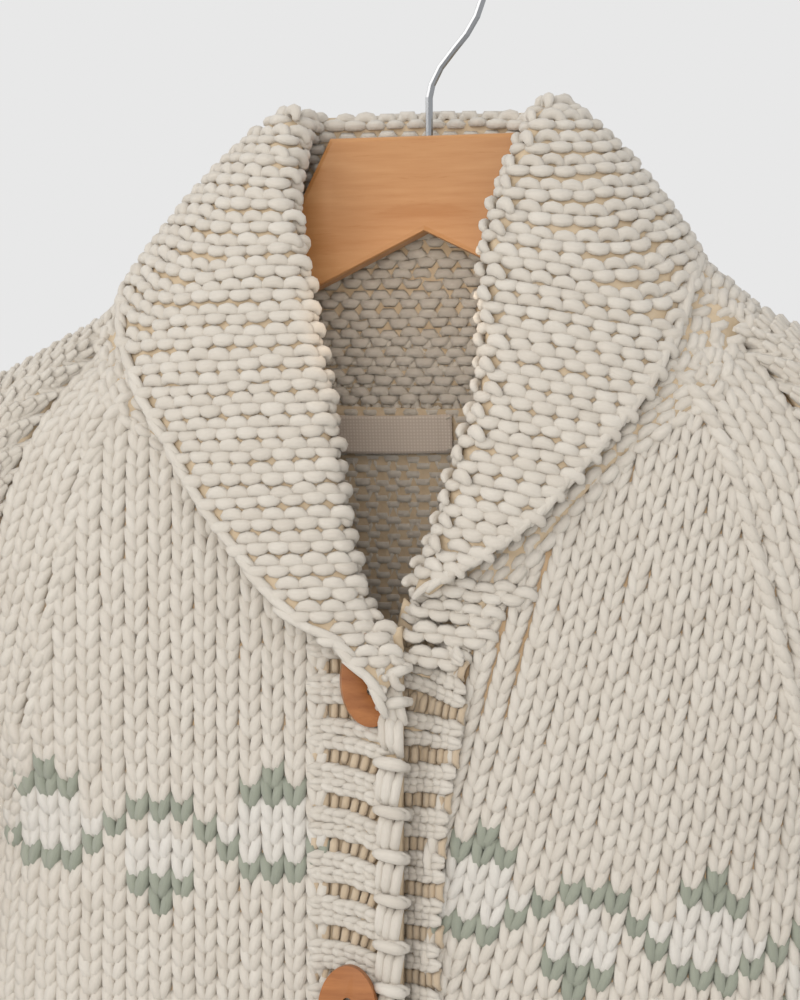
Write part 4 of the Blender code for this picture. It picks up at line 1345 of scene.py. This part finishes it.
@dataclass
class Collar:
    """The garter-stitch shawl collar. Its ridges lie level on the fall and on the stand behind the neck."""

    body: BodyForm
    gauge: Gauge
    # levels of the short ridges at the collar's highest points, then of the first and the last long one
    summit: tuple[float, ...] = (64.5, 71.5)
    first_level: float = 78.5
    last_level: float = 330.0
    # the least length of a ridge, in stitches, at the highest points and elsewhere
    least: tuple[float, float] = (0.8, 1.6)
    # how the ridges lean on each half, the y where that ends and how far before it the lean is whole
    lean_right: float = 0.03
    lean_left: float = 0.19
    lean_fades: tuple[float, float] = (35.0, 75.0)
    # how they dip away from the fold, and the fold's height where that starts and how far above it is whole
    shoulder: float = 0.12
    shoulder_fades: tuple[float, float] = (-125.0, 30.0)
    # the least and the most that a ridge is stretched
    stretched: tuple[float, float] = (0.8, 1.5)
    crest: int = 24
    # how far up the collar's foot its own ridges reach, and how much closer they lie
    foot: float = 34.0
    foot_closer: float = 0.95
    wall: float = 2.6
    # the slipped edge: length and width of a link, their spacing, and how thick the yarn is between two shares
    link: tuple[float, float] = (9.0, 4.2)
    link_pitch: float = 7.2
    edge: tuple[tuple[float, float, float], ...] = ((0.0, 0.3, 0.85), (0.3, 0.72, 0.62), (0.72, 1.0, 0.8))
    # the last column of the stand, and the y behind which the collar is out of the camera's view
    stand_columns: int = 16
    back_from: float = 14.0
    # first x, last x and z of the rows that close the left end
    closing: tuple[tuple[float, float, float], ...] = (
        (16, 52, -279.5),
        (11, 44, -289.0),
        (8, 37, -298.5),
        (6, 29, -308.0),
    )
    closing_y: float = -58.5
    closing_slope: float = 0.12

    def parts(self) -> tuple[Array, Array]:
        """The collar's dense grid and its normals."""
        grid = widen(refine(CollarForm(self.body).grid(), 4), 4)
        return grid, own_normals(grid)

    def levels(self, grid: Array) -> tuple[Array, Array]:
        """How far down the ridges each point lies, and how fast that grows along the cloth."""
        x, y, z = grid[..., 0], grid[..., 1], grid[..., 2]
        front = np.clip((self.lean_fades[0] - y) / self.lean_fades[1], 0, 1)
        lean = np.where(x < 0, self.lean_right, self.lean_left) * front
        far = rows_travelled(grid)
        from_crest = np.abs(far - far[:, self.crest : self.crest + 1])
        low, rise = self.shoulder_fades
        high = np.clip((z[:, self.crest] - low) / rise, 0, 1)[:, None]
        level = -z - lean * np.abs(x) + self.shoulder * high * from_crest
        rows, columns = np.gradient(grid, axis=0), np.gradient(grid, axis=1)
        a, b, c = (rows * rows).sum(-1), (rows * columns).sum(-1), (columns * columns).sum(-1)
        p, q = np.gradient(level, axis=0), np.gradient(level, axis=1)
        return level, np.sqrt(np.maximum((c * p * p - 2 * b * p * q + a * q * q) / np.maximum(a * c - b * b, 1e-6), 0))

    def laid(self, grid: Array, normals: Array, places: Array, growth: Array) -> tuple[Spots, Array]:
        """Places for the stitches of one ridge.

        Args:
            grid: The collar's dense grid.
            normals: Its normals.
            places: The ridge's line, in rows and columns of the grid.
            growth: How fast the levels of the ridges grow along the cloth.

        Returns:
            The places, and the column of the grid of each.
        """
        line = read_grid(grid, places)
        far = travelled(line)
        count = max(int(round(far[-1] / self.gauge.ridge_stitch)), 1)
        wanted = (np.arange(count) + 0.5) * far[-1] / count
        at = sampled(wanted, far, places)
        ahead = unit(sampled(wanted, far, np.gradient(line, axis=0)))
        out = unit(read_grid(normals, at))
        up = unit(np.cross(out, ahead))
        up *= np.where(up[:, 2:3] < 0, -1.0, 1.0)
        height = self.gauge.ridge * np.clip(1 / np.maximum(read_grid(growth, at), 0.1), *self.stretched)
        return Spots.of(read_grid(grid, at), np.cross(up, out), up, out, far[-1] / count, height), at[:, 1]

    def ridges(self, grid: Array, normals: Array) -> tuple[Spots, Array]:
        """Places for the stitches of all the ridges, and the column of the grid of each."""
        level, growth = self.levels(grid)
        found = []
        for value in [*self.summit, *np.arange(self.first_level, self.last_level, self.gauge.ridge)]:
            least = self.least[value not in self.summit] * self.gauge.ridge_stitch
            for places in contours(level, value):
                if travelled(read_grid(grid, places))[-1] > least:
                    found.append(self.laid(grid, normals, places, growth))
        return Spots.joined([spots for spots, _ in found]), np.concatenate([columns for _, columns in found])

    def base(self, grid: Array, normals: Array) -> Spots:
        """Places for the ridges on the outer face of the collar's foot, which run beside the neck seam."""
        far = rows_travelled(grid)
        found = []
        for distance in np.arange(0.5, self.foot, self.gauge.ridge * self.foot_closer):
            columns = [np.interp(distance, row, np.arange(grid.shape[1])) for row in far]
            places = np.stack([np.arange(len(grid)), columns], axis=-1)
            found.append(self.laid(grid, -normals, places, np.ones(grid.shape[:2]))[0])
        return Spots.joined(found)

    def rope(self, yarn: Yarn, grid: Array, normals: Array, low: float, high: float, thick: float) -> None:
        """Lays a slipped edge along the free edge, between two shares of its length."""
        line, fall = grid[:, -1], unit(grid[:, -1] - grid[:, -3])
        far = travelled(line)
        wanted = np.arange(low * far[-1], high * far[-1], self.link_pitch)
        ways = (np.gradient(line, axis=0), normals[:, -1], fall)
        ahead, out, fall = [unit(sampled(wanted, far, way)) for way in ways]
        links = Spots.of(sampled(wanted, far, line) - fall * 0.5, ahead, fall, out, *self.link)
        yarn.knit(links, Strand.LINK, lift=0.6, thick=thick)

    def end_rows(self) -> Spots:
        """Places for the short rows that close the collar's left end, above the under band."""
        found = []
        for start, end, z in self.closing:
            x = np.arange(start, end, self.gauge.ridge_stitch * 0.9)
            centre = np.stack([x, np.full(len(x), self.closing_y), z - self.closing_slope * (x - start)], axis=-1)
            across, up = [unit(np.array(way)) for way in ((1, 0, -self.closing_slope), (self.closing_slope, 0, 1))]
            found.append(Spots.of(centre, across, up, FRONT, self.gauge.ridge_stitch, self.gauge.ridge))
        return Spots.joined(found)

    def build(self, yarns: Sequence[bpy.types.Material], ground: bpy.types.Material) -> None:
        """Makes the collar's ground, its ridges, its edge and the rows that close its left end."""
        grid, normals = self.parts()
        spots, columns = self.ridges(grid, normals)
        fall = Yarn(seed=41, sides=8)
        on_fall = columns > self.stand_columns
        behind = spots.centre[:, 1] > self.back_from
        fall.knit_both(spots.chosen(on_fall & ~behind), BUMPS, lift=0.2)
        fall.knit_both(spots.chosen(on_fall & behind), BUMPS_FAR, lift=0.2, sides=5)
        for low, high, thick in self.edge:
            self.rope(fall, grid, normals, low, high, thick)
        worn = fall.made("collar_fall_ridges", yarns)
        stand = Yarn(seed=42)
        stand.knit_both(spots.chosen(~on_fall), BUMPS_FAR, lift=0.6)
        stand.knit_both(Spots.joined([self.base(grid, normals), self.end_rows()]), BUMPS, lift=1.4)
        lining = stand.made("collar_stand_ridges", yarns)
        coarse = widen(CollarForm(self.body).grid(), 2)
        cover("collar", "collar_cloth", coarse, own_normals(coarse), 0.0, self.wall, ground)


def rib_lift(turns: Array, relief: float, sunk: float = 0.6) -> Array:
    """How far ribs lift the cloth at places counted in ribs: flat tops, steep sides, and grooves that are sunk."""
    return relief * np.clip(2.2 * np.cos(2 * math.pi * turns) + 0.5, 0, 1) - sunk


@dataclass
class Band:
    """A front band of two-by-two ribs that lie across it. The one on top ends in a thick cast-off lip."""

    body: BodyForm
    over: bool
    top: float = -304.0
    pitch: float = 18.3
    relief: float = 2.4
    stitch: tuple[float, float] = (5.9, 4.9)
    bar_pitch: float = 4.4
    recess: float = 6.6
    lip_width: float = 11.0
    wall: float = 2.3
    shares: int = 14
    # over band: x of its seam, width, how far its free edge stands out, how far that rises at the top and hangs below
    over_form: tuple[float, float, float, float, float] = (-34.0, 40.0, 4.5, 9.0, 12.0)
    # under band: x of its free edge at the top, how far that shifts below, its depth, where it is whole, its rise
    under_form: tuple[float, float, float, float, float] = (2.0, 18.0, 6.6, 0.28, 19.0)
    # how far below the top and above the hem the form changes
    settles: tuple[float, float] = (45.0, 60.0)
    # the cast-off edge: its height over a rib, how much lower the first bar is, and its slant
    lip_rise: float = 13.6
    first_lower: float = 9.0
    lip_slant: float = 0.3
    # its upright loops: place across, how far out, thickness
    loops: tuple[tuple[float, float, float], ...] = ((-0.32, 3.6, 1.25), (0.0, 4.3, 1.3), (0.33, 3.2, 1.25))

    def point(self, share: float, z: float) -> Array:
        """A point of the band: share 0 is its seam with the front and 1 its free edge."""
        face = -self.body.depth(-1, z)
        below = min(max((self.top - z) / self.settles[0], 0), 1)
        above_hem = min(max((z - self.body.hem) / self.settles[1], 0), 1)
        if self.over:
            seam_x, width, out, rise, hang = self.over_form
            x, y = seam_x + width * share, face - out * share**2
            return np.array([x, y, z + rise * (1 - below) * share**2 - hang * share**2 * below * above_hem])
        free_x, shift, depth, whole, rise = self.under_form
        seam_x = smooth(self.body.under_edge, 1, z)
        y = face + depth * min(share / whole, 1)
        return np.array([seam_x + (free_x - shift * below - seam_x) * share, y, z + rise * (1 - below) * share])

    def name(self) -> str:
        """The band's node."""
        return "band_right" if self.over else "band_left"

    def chart(self) -> Chart:
        """The band laid out flat, u from its seam and v up it."""
        heights = np.arange(self.body.hem, self.top + 0.1, 4.3)
        rows = [np.array([self.point(share, z) for share in np.linspace(0, 1, 12)]) for z in heights]
        arcs = [travelled(row) for row in rows]
        return Chart.of_rows(rows, arcs, heights, FRONT, step=2.0, beyond=8.0)

    def build(self, yarns: Sequence[bpy.types.Material], ground: bpy.types.Material) -> None:
        """Makes the band's ground, its ribs, the purl bars between them and the lip."""
        chart = self.chart()
        width = float(chart.last.min())
        start, end = (-0.5, width - self.lip_width + 1) if self.over else (-5.5, width - 1)
        yarn = Yarn(seed=51 + self.over)
        centres = np.arange(self.top - 0.5, self.body.hem + 4, -self.pitch)
        w, h = self.stitch
        u, v = flat_grid(np.arange(start, end, h), np.concatenate([centres - w / 2, centres + w / 2]))
        wales = chart.spots(u, np.minimum(v, self.top), -math.pi / 2, w, h)
        yarn.knit_both(wales, LEGS_FAR, lift=1.8, thick=0.8)
        u, v = flat_grid(np.arange(start, end, self.bar_pitch), centres - self.pitch / 2)
        # the purl bars take look 3, the yarn painted darker as painted shade in the recess
        bars = chart.spots(u, v, 0.0, self.bar_pitch, self.recess * 1.25, np.full(u.size, 3))
        yarn.knit(bars, Strand.POST, lift=0.6, thick=1.0, sides=5)
        if self.over:
            self.lip(yarn, chart, centres, width)
        ribs = yarn.made(f"{self.name()}_ribs", yarns)
        heights = np.arange(self.top - 0.3, self.body.hem - 0.1, -self.pitch / 6)
        shares = np.linspace(0, 0.93 if self.over else 1, self.shares)
        grid = np.array([[self.point(share, z) for share in shares] for z in heights])
        normals = own_normals(grid, FRONT)
        lift = rib_lift((self.top - heights) / self.pitch, self.relief)[:, None]
        cover(self.name(), f"{self.name()}_cloth", grid, normals, lift, self.wall, ground)

    def lip(self, yarn: Yarn, chart: Chart, centres: Array, width: float) -> None:
        """Lays the cast-off edge: a thick bar at each rib and upright loops between them."""
        middle = width - self.lip_width / 2 - 0.4
        level = centres[1:] + self.lip_rise
        level[0] -= self.first_lower
        bars = chart.spots(np.full(len(level), middle + 0.4), level, self.lip_slant, self.lip_width * 1.08, 5.0)
        yarn.knit(bars, Strand.BAR, lift=5.4, sides=8, flat=1.0)
        yarn.knit(bars, Strand.BAR, lift=1.6, thick=1.1, sides=6, flat=1.0)
        for share, out, thick in self.loops:
            u = np.full(len(level), middle + share * self.lip_width)
            posts = chart.spots(u, level - self.pitch / 2 + 0.2, self.lip_slant, 4.0, self.pitch * 0.86)
            yarn.knit(posts, Strand.POST, lift=out, thick=thick, sides=8, flat=1.0)


@dataclass
class Welt:
    """A ribbed border, two plain wales and a purl recess in turn, under a panel or round a wrist."""

    node: str
    rows: Array
    outwards: Optional[Array] = None
    pitch: float = 19.0
    relief: float = 2.6
    purl_width: float = 9.0
    wall: float = 2.2
    stitch: tuple[float, float] = (5.9, 6.4)
    ring: bool = False

    def build(self, yarns: Sequence[bpy.types.Material], ground: bpy.types.Material) -> None:
        """Makes the border's ground and its ribs."""
        rows = self.rows[::-1]
        arcs = [travelled(row) for row in rows]
        chart = Chart.of_rows(rows, arcs, rows[:, :, 2].mean(axis=1), self.outwards, step=2.0, beyond=4.0)
        length = float(chart.last.min())
        w, h = self.stitch
        start, reach = (0.0, length) if self.ring else (w, length - 2 * w)
        pitch = reach / round(reach / self.pitch)
        centres = start + pitch * np.arange(round(reach / pitch) + (0 if self.ring else 1))
        v = np.arange(chart.low_v + 1, chart.top() - 1, h)
        yarn = Yarn(seed=len(self.node), sides=4)
        u, z = flat_grid(np.concatenate([centres - w / 2, centres + w / 2]), v)
        keep = (u > -0.6 * w) & (u < length)
        wales = chart.spots(u[keep], z[keep], 0.0, w, h)
        yarn.knit_both(wales, LEGS_FAR, lift=2.1, thick=0.7)
        u, z = flat_grid(centres + pitch / 2, v)
        keep = u < length - 3
        purls = chart.spots(u[keep], z[keep], 0.0, self.purl_width, h)
        yarn.knit(purls, Strand.CUP_FAR, lift=-0.2, thick=0.8)
        ribs = yarn.made(f"{self.node}_ribs", yarns)
        grid = refine(self.rows, 3)
        normals = own_normals(grid, self.outwards)
        lift = np.tile(rib_lift((travelled(grid[0]) - centres[0]) / pitch, self.relief), (len(grid), 1))
        if self.ring:
            grid, normals, lift = grid[:, :-1], normals[:, :-1], lift[:, :-1]
        cover(self.node, f"{self.node}_cloth", grid, normals, lift, self.wall, ground, ring=self.ring)


@dataclass(frozen=True)
class Wood:
    """Oiled wood with long fine grain and darker flecks. On the board the grain runs along each arm."""

    name: str
    light: str
    dark: str
    slope: float = 0.0
    scale: float = 1.0
    roughness: float = 0.45
    # how often the grain changes in a metre along it, through the board and across it
    grain: tuple[float, float, float] = (12.0, 90.0, 130.0)

    def material(self) -> bpy.types.Material:
        """Builds the material from Object coordinates."""
        made, tree, shader = blank(self.name)
        place = node(tree, "ShaderNodeTexCoord")
        parts = node(tree, "ShaderNodeSeparateXYZ", {}, {0: place.outputs["Object"]})
        mirrored = node(tree, "ShaderNodeMath", {"operation": "ABSOLUTE"}, {0: parts.outputs[0]})
        joined = node(tree, "ShaderNodeCombineXYZ", {},
                      {0: mirrored.outputs[0], 1: parts.outputs[1], 2: parts.outputs[2]})
        scale = [often * self.scale for often in self.grain]
        turned = node(tree, "ShaderNodeMapping", {"Rotation": (0, math.radians(-self.slope), 0), "Scale": scale},
                      {0: joined.outputs[0]})
        grain = node(tree, "ShaderNodeTexNoise", {"Scale": 1.0, "Detail": 6.0, "Roughness": 0.6},
                     {0: turned.outputs[0]})
        flecks = node(tree, "ShaderNodeTexNoise", {"Scale": 5.0, "Detail": 2.0, "Roughness": 0.7},
                      {0: turned.outputs[0]})
        ramp = node(tree, "ShaderNodeMapRange", {1: 0.3, 2: 0.7}, {0: grain.outputs["Fac"]})
        spots = node(tree, "ShaderNodeMapRange", {1: 0.62, 2: 0.75, 4: 0.35}, {0: flecks.outputs["Fac"]})
        less = node(tree, "ShaderNodeMath", {"operation": "SUBTRACT", "use_clamp": True},
                    {0: ramp.outputs[0], 1: spots.outputs[0]})
        two_tones(tree, shader, less.outputs[0], self.dark, self.light)
        bumps(tree, shader, grain.outputs["Fac"], 0.15, 0.0004)
        settle(shader, roughness=self.roughness, ior=1.5)
        return made


@dataclass(frozen=True)
class Chrome:
    """Bright chrome on drawn wire, with faint drawing marks along it."""

    name: str = "chromed steel wire"
    colour: str = "#9EA0A3"

    def material(self) -> bpy.types.Material:
        """Builds the material from Object coordinates."""
        made, tree, shader = blank(self.name)
        place = node(tree, "ShaderNodeTexCoord")
        marks = node(tree, "ShaderNodeTexNoise", {"Scale": 600.0, "Detail": 2.0}, {0: place.outputs["Object"]})
        rough = node(tree, "ShaderNodeMapRange", {3: 0.1, 4: 0.24}, {0: marks.outputs["Fac"]})
        tree.links.new(rough.outputs[0], shader.inputs["Roughness"])
        settle(shader, base_color=linear(self.colour), metallic=1.0)
        return made


@dataclass(frozen=True)
class Tape:
    """Undyed cotton tape in a fine plain weave."""

    name: str = "woven cotton tape"
    light: str = "#DAD1C8"
    dark: str = "#C6BAAF"
    threads: float = 1300.0

    def material(self) -> bpy.types.Material:
        """Builds the material from Object coordinates."""
        made, tree, shader = blank(self.name)
        place = node(tree, "ShaderNodeTexCoord")
        heights = []
        for direction in ("X", "Z"):
            wave = node(tree, "ShaderNodeTexWave", {"bands_direction": direction, "Scale": self.threads / 6,
                                                    "Distortion": 0.6}, {0: place.outputs["Object"]})
            heights.append(wave.outputs["Fac"])
        weave = node(tree, "ShaderNodeMath", {"operation": "MULTIPLY"}, {0: heights[0], 1: heights[1]})
        two_tones(tree, shader, weave.outputs[0], self.dark, self.light)
        bumps(tree, shader, weave.outputs[0], 0.3, 0.0002)
        settle(shader, roughness=0.85)
        return made


def threads(name: str, seed: int, sides: int, paths: Array, radius: float,
            yarns: Sequence[bpy.types.Material]) -> bpy.types.Object:
    """Makes one piece of sewing threads that follow paths on the garment's front or in its back."""
    yarn = Yarn(seed=seed, sides=sides)
    yarn.tubes(paths, np.full(paths.shape[:2], radius), np.broadcast_to(FRONT, paths.shape),
               np.zeros(len(paths), int))
    return yarn.made(name, yarns)


@dataclass
class Toggle:
    """An oval wooden button, rounded over its edge, with two dished thread holes and the yarn through them."""

    number: int
    x: float
    z: float
    out: float
    turn: float = 0.0
    size: tuple[float, float, float] = (25.0, 39.0, 4.6)
    hole: float = 2.0
    apart: float = 9.0
    rounding: float = 1.9
    # the thread between the holes: share of their distance, height over the face
    thread: tuple[tuple[float, float], ...] = ((-0.5, -2.5), (-0.42, -0.3), (0, 0.5), (0.42, -0.3), (0.5, -2.5))

    def build(self, wood: bpy.types.Material, yarns: Sequence[bpy.types.Material]) -> None:
        """Makes the button and its thread."""
        bpy.ops.object.select_all(action="DESELECT")
        bpy.ops.mesh.primitive_cylinder_add(vertices=56, radius=0.5, depth=1)
        button = bpy.context.object
        button.name = f"toggle_{self.number}"
        bpy.ops.transform.resize(value=[side * MM for side in self.size])
        bpy.ops.object.transform_apply(scale=True)
        cutters = []
        for side in (-1, 1):
            bpy.ops.mesh.primitive_cylinder_add(vertices=24, radius=self.hole * MM, depth=4 * self.size[2] * MM,
                                                location=(0, side * self.apart / 2 * MM, 0))
            cutters.append(bpy.context.object)
        bpy.context.view_layer.objects.active = button
        for cutter in cutters:
            cut = button.modifiers.new("thread hole", "BOOLEAN")
            cut.operation, cut.object = "DIFFERENCE", cutter
            bpy.ops.object.modifier_apply(modifier=cut.name)
            bpy.data.objects.remove(cutter)
        edge = button.modifiers.new("rounded edges", "BEVEL")
        edge.width, edge.segments, edge.limit_method = self.rounding * MM, 4, "ANGLE"
        edge.angle_limit = math.radians(50)
        edge.use_clamp_overlap = True
        bpy.ops.object.select_all(action="DESELECT")
        button.select_set(True)
        bpy.ops.object.modifier_apply(modifier=edge.name)
        bpy.ops.object.shade_smooth_by_angle(angle=math.radians(40))
        button.rotation_euler = (math.radians(90), 0, math.radians(self.turn))
        button.location = (self.x * MM, -self.out * MM, self.z * MM)
        bpy.ops.object.transform_apply(location=True, rotation=True)
        button.data.materials.clear()
        button.data.materials.append(wood)
        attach(button, "root")
        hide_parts(f"button_{self.number}")
        face = self.out + self.size[2] / 2
        paths = np.array([[(self.x + lean, -(face + lift), self.z + share * self.apart) for share, lift in self.thread]
                          for lean in (-0.6, 0.7)])
        threads(f"toggle_thread_{self.number}", 70 + self.number, 6, paths, 0.6, yarns)
        LOG.info("toggle %d", self.number)


@dataclass
class Label:
    """The blank cotton label inside the back neck, its ends folded under and sewn down by the corners."""

    body: BodyForm
    left: float = -53.0
    width: float = 58.0
    top: float = -206.5
    height: float = 17.0
    off: float = 5.4
    # the ridges of its folded ends: share of the length, height
    ridges: tuple[tuple[float, float], ...] = ((0.93, 0.9), (0.06, 0.5))
    ridge_width: float = 0.02
    # a stitch at a corner: across, out, up
    stitch: tuple[tuple[float, float, float], ...] = (
        (-1.4, -0.3, -0.6),
        (-0.7, 0.5, -0.3),
        (0.7, 0.5, 0.3),
        (1.4, -0.3, 0.6),
    )

    def build(self, tape: bpy.types.Material, yarns: Sequence[bpy.types.Material]) -> None:
        """Makes the label and its stitches."""
        x = np.linspace(self.left, self.left + self.width, 40)
        z = np.linspace(self.top, self.top - self.height, 12)
        grid = np.zeros((len(z), len(x), 3))
        for i, height in enumerate(z):
            for j, across in enumerate(x):
                line = self.body.curve(1, -1 if across < 0 else 1, height)
                y = np.interp(abs(across), np.abs(line[:, 0]), line[:, 1])
                share = j / (len(x) - 1)
                fold = sum(rise * math.exp(-(((share - at) / self.ridge_width) ** 2)) for at, rise in self.ridges)
                sag = 0.7 * math.sin(5 * share + 1.5 * i / len(z)) + 0.3 * math.sin(17 * share + 3)
                grid[i, j] = (across, y - self.off - fold - sag * 0.6, height - 0.6 * math.sin(3 * share))
        normals = own_normals(grid, FRONT)
        piece = sheet_mesh("neck_label", grid, normals, 0.2, 0.2, tape)
        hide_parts("label")
        corners = [grid[1, 1], grid[-2, 1], grid[1, -2], grid[-2, -2]]
        paths = np.array([[corner + np.array([x, -y, z]) for x, y, z in self.stitch] for corner in corners])
        sewn = threads("label_stitches", 81, 5, paths, 0.35, yarns)
        LOG.info("label")


@dataclass
class Studio:
    """A pale floor and backdrop, soft light from the upper left, and a camera at the photograph's angle."""

    azimuth: float = 13.0
    distance: float = 1100.0
    target: tuple[float, float, float] = (-11.4, -2.6, -244.8)
    focal_pixels: float = 2530.0
    pixels: float = 1000.0
    sensor: float = 36.0

    def camera(self) -> None:
        """Places the camera."""
        turn = math.radians(self.azimuth)
        data = bpy.data.cameras.new("camera")
        data.sensor_width = self.sensor
        data.lens = self.focal_pixels * self.sensor / self.pixels
        data.clip_start, data.clip_end = 0.01, 50
        made = placed("camera", data)
        x, y, z = self.target
        made.location = ((x + self.distance * math.sin(turn)) * MM, (y - self.distance * math.cos(turn)) * MM, z * MM)
        made.rotation_euler = (math.radians(90), 0, turn)
        bpy.context.scene.camera = made

    def lamp(self, name: str, place: tuple[float, float, float], size: float, power: float, colour: str,
             target: tuple[float, float, float] = (0, 0, -0.3)) -> bpy.types.Object:
        """Hangs one soft square lamp.

        Args:
            name: The lamp's name.
            place: Where it hangs, in metres.
            size: The length of its side.
            power: Its power in watts.
            colour: Its colour.
            target: What it faces.

        Returns:
            The lamp.
        """
        data = bpy.data.lights.new(name, "AREA")
        data.shape = "SQUARE"
        data.size, data.energy = size, power
        data.color = linear(colour)[:3]
        made = placed(name, data)
        made.location = place
        aim = Vector(target) - Vector(place)
        made.rotation_euler = aim.to_track_quat("-Z", "Y").to_euler()
        made.visible_camera = False
        return made

    def build(self) -> None:
        """Makes the camera, the lamps, the floor and the even pale light all round."""
        self.camera()
        self.lamp("key lamp", (-1.3, -1.3, 0.8), 1.2, 11.0, "#FFFAF4")
        self.lamp("front lamp", (0.1, -1.4, -0.1), 0.6, 5.0, "#FFF6EC")
        self.lamp("neck lamp", (0.0, -0.06, -0.155), 0.05, 0.014, "#FFE3C2", (-0.005, 0.03, -0.2))
        world = bpy.data.worlds.new("studio")
        bpy.context.scene.world = world
        world.use_nodes = True
        back = world.node_tree.nodes["Background"]
        back.inputs["Color"].default_value = linear("#E8E8E8")
        back.inputs["Strength"].default_value = 1.0
        bpy.ops.object.select_all(action="DESELECT")
        bpy.ops.mesh.primitive_plane_add(size=6, location=(0, 0, -0.86))
        floor = bpy.context.object
        floor.name = "floor"
        made, _, shader = blank("pale matt floor")
        settle(shader, base_color=linear("#E4E4E3"), roughness=0.9)
        floor.data.materials.append(made)
        bpy.context.scene.view_settings.view_transform = "Standard"


def welts(body: BodyForm, yarns: Sequence[bpy.types.Material], ground: bpy.types.Material) -> None:
    """Makes the welts under the fronts and the back, and the cuffs."""
    heights = (body.rib_top - 0.3, -727.5, -755.5, body.hem)
    shares = np.linspace(0, 1, 110)
    halves = []
    for side in (-1, 1):
        rows = np.array([body.strip(-1, side, z, body.inner_x(side, z), shares) for z in heights])
        Welt(f"welt_front_{side_name(side)}", rows, FRONT).build(yarns, ground)
        halves.append(np.array([body.strip(1, side, z, 0, shares) for z in heights]))
    back = np.concatenate([halves[0][:, ::-1], halves[1][:, 1:]], axis=1)
    Welt("welt_back", back, -FRONT).build(yarns, ground)
    for side in (-1, 1):
        rows = SleeveForm(body, side).sections(columns=121, cuff=True)
        Welt(f"cuff_{side_name(side)}", rows, ring=True).build(yarns, ground)


def dress(name: str, finish: bpy.types.Material) -> None:
    """Gives a solid of the part its material."""
    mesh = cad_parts[name].data
    mesh.materials.clear()
    mesh.materials.append(finish)
    LOG.info("%s: %s", name, finish.name)


def main() -> None:
    """Builds each part of the garment in order and reports it."""
    logging.basicConfig(level=logging.INFO, format="%(message)s")
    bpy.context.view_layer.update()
    studio = Studio()
    studio.build()
    body, gauge, motif = BodyForm(), Gauge(), Motif()
    natural = Wool("natural wool yarn", "#E1DCD3", "#CDC5B9").material()
    green = Wool("sage green wool yarn", "#A9AD9E", "#8F9588").material()
    white = Wool("bleached wool yarn", "#E4E1DB", "#D2CDC4").material()
    # look 3: the natural yarn painted darker and warmer, as painted shade, for the purl bars deep in the bands'
    # recesses
    shaded = Wool("natural wool yarn in painted shade of the ribs", "#D6C5AD", "#C0AB8F").material()
    # the ground under the fronts' stitches: the yarn painted darker as painted shade in the gaps between them
    ground = Shade().material()
    # a lighter painted shade for the gaps between the collar's ridges, the bands' ribs, the back and the sleeves
    pale = Shade("wool ground between ridges, in lighter painted shade", "#D6C6AE", "#BCA789").material()
    yarns = [natural, green, white, shaded]
    Front(body, -1, 0.0, -52.2, -361.0, gauge, motif, stretch=0.45).build(yarns, ground)
    Front(body, 1, -10.5, 37.8, -383.0, gauge, motif).build(yarns, ground)
    Back(body, gauge).build(yarns, pale)
    for side in (-1, 1):
        Sleeve(body, side, gauge).build(yarns, pale)
    Collar(body, gauge).build(yarns, pale)
    for over in (True, False):
        Band(body, over).build(yarns, pale)
    # the welts' and cuffs' ground, only faintly darker than the yarn, as painted shade between the ribs
    welts(body, yarns, Shade("wool ground under the ribs, in faint painted shade", "#DBD1C3", "#C8BCAB").material())
    toggle_wood = Wood("waxed maple wood", "#AD713F", "#8B5227", 80.0, 1.4, 0.4).material()
    for number, (x, z, out, turn) in enumerate((
        (-9.5, -318.5, 64.5, 25.0), (-18.0, -455.0, 68.5, 0), (-17.0, -586.5, 67.5, 0), (-17.0, -718.0, 66.0, 0),
    )):
        Toggle(number + 1, x, z, out, turn).build(toggle_wood, yarns)
    Label(body).build(Tape().material(), yarns)
    dress("hanger_board", Wood("oiled beech", "#C08F5E", "#A9713C", 27.0, 1.0, 0.42).material())
    dress("hanger_hook", Chrome().material())


if __name__ == "__main__":
    main()
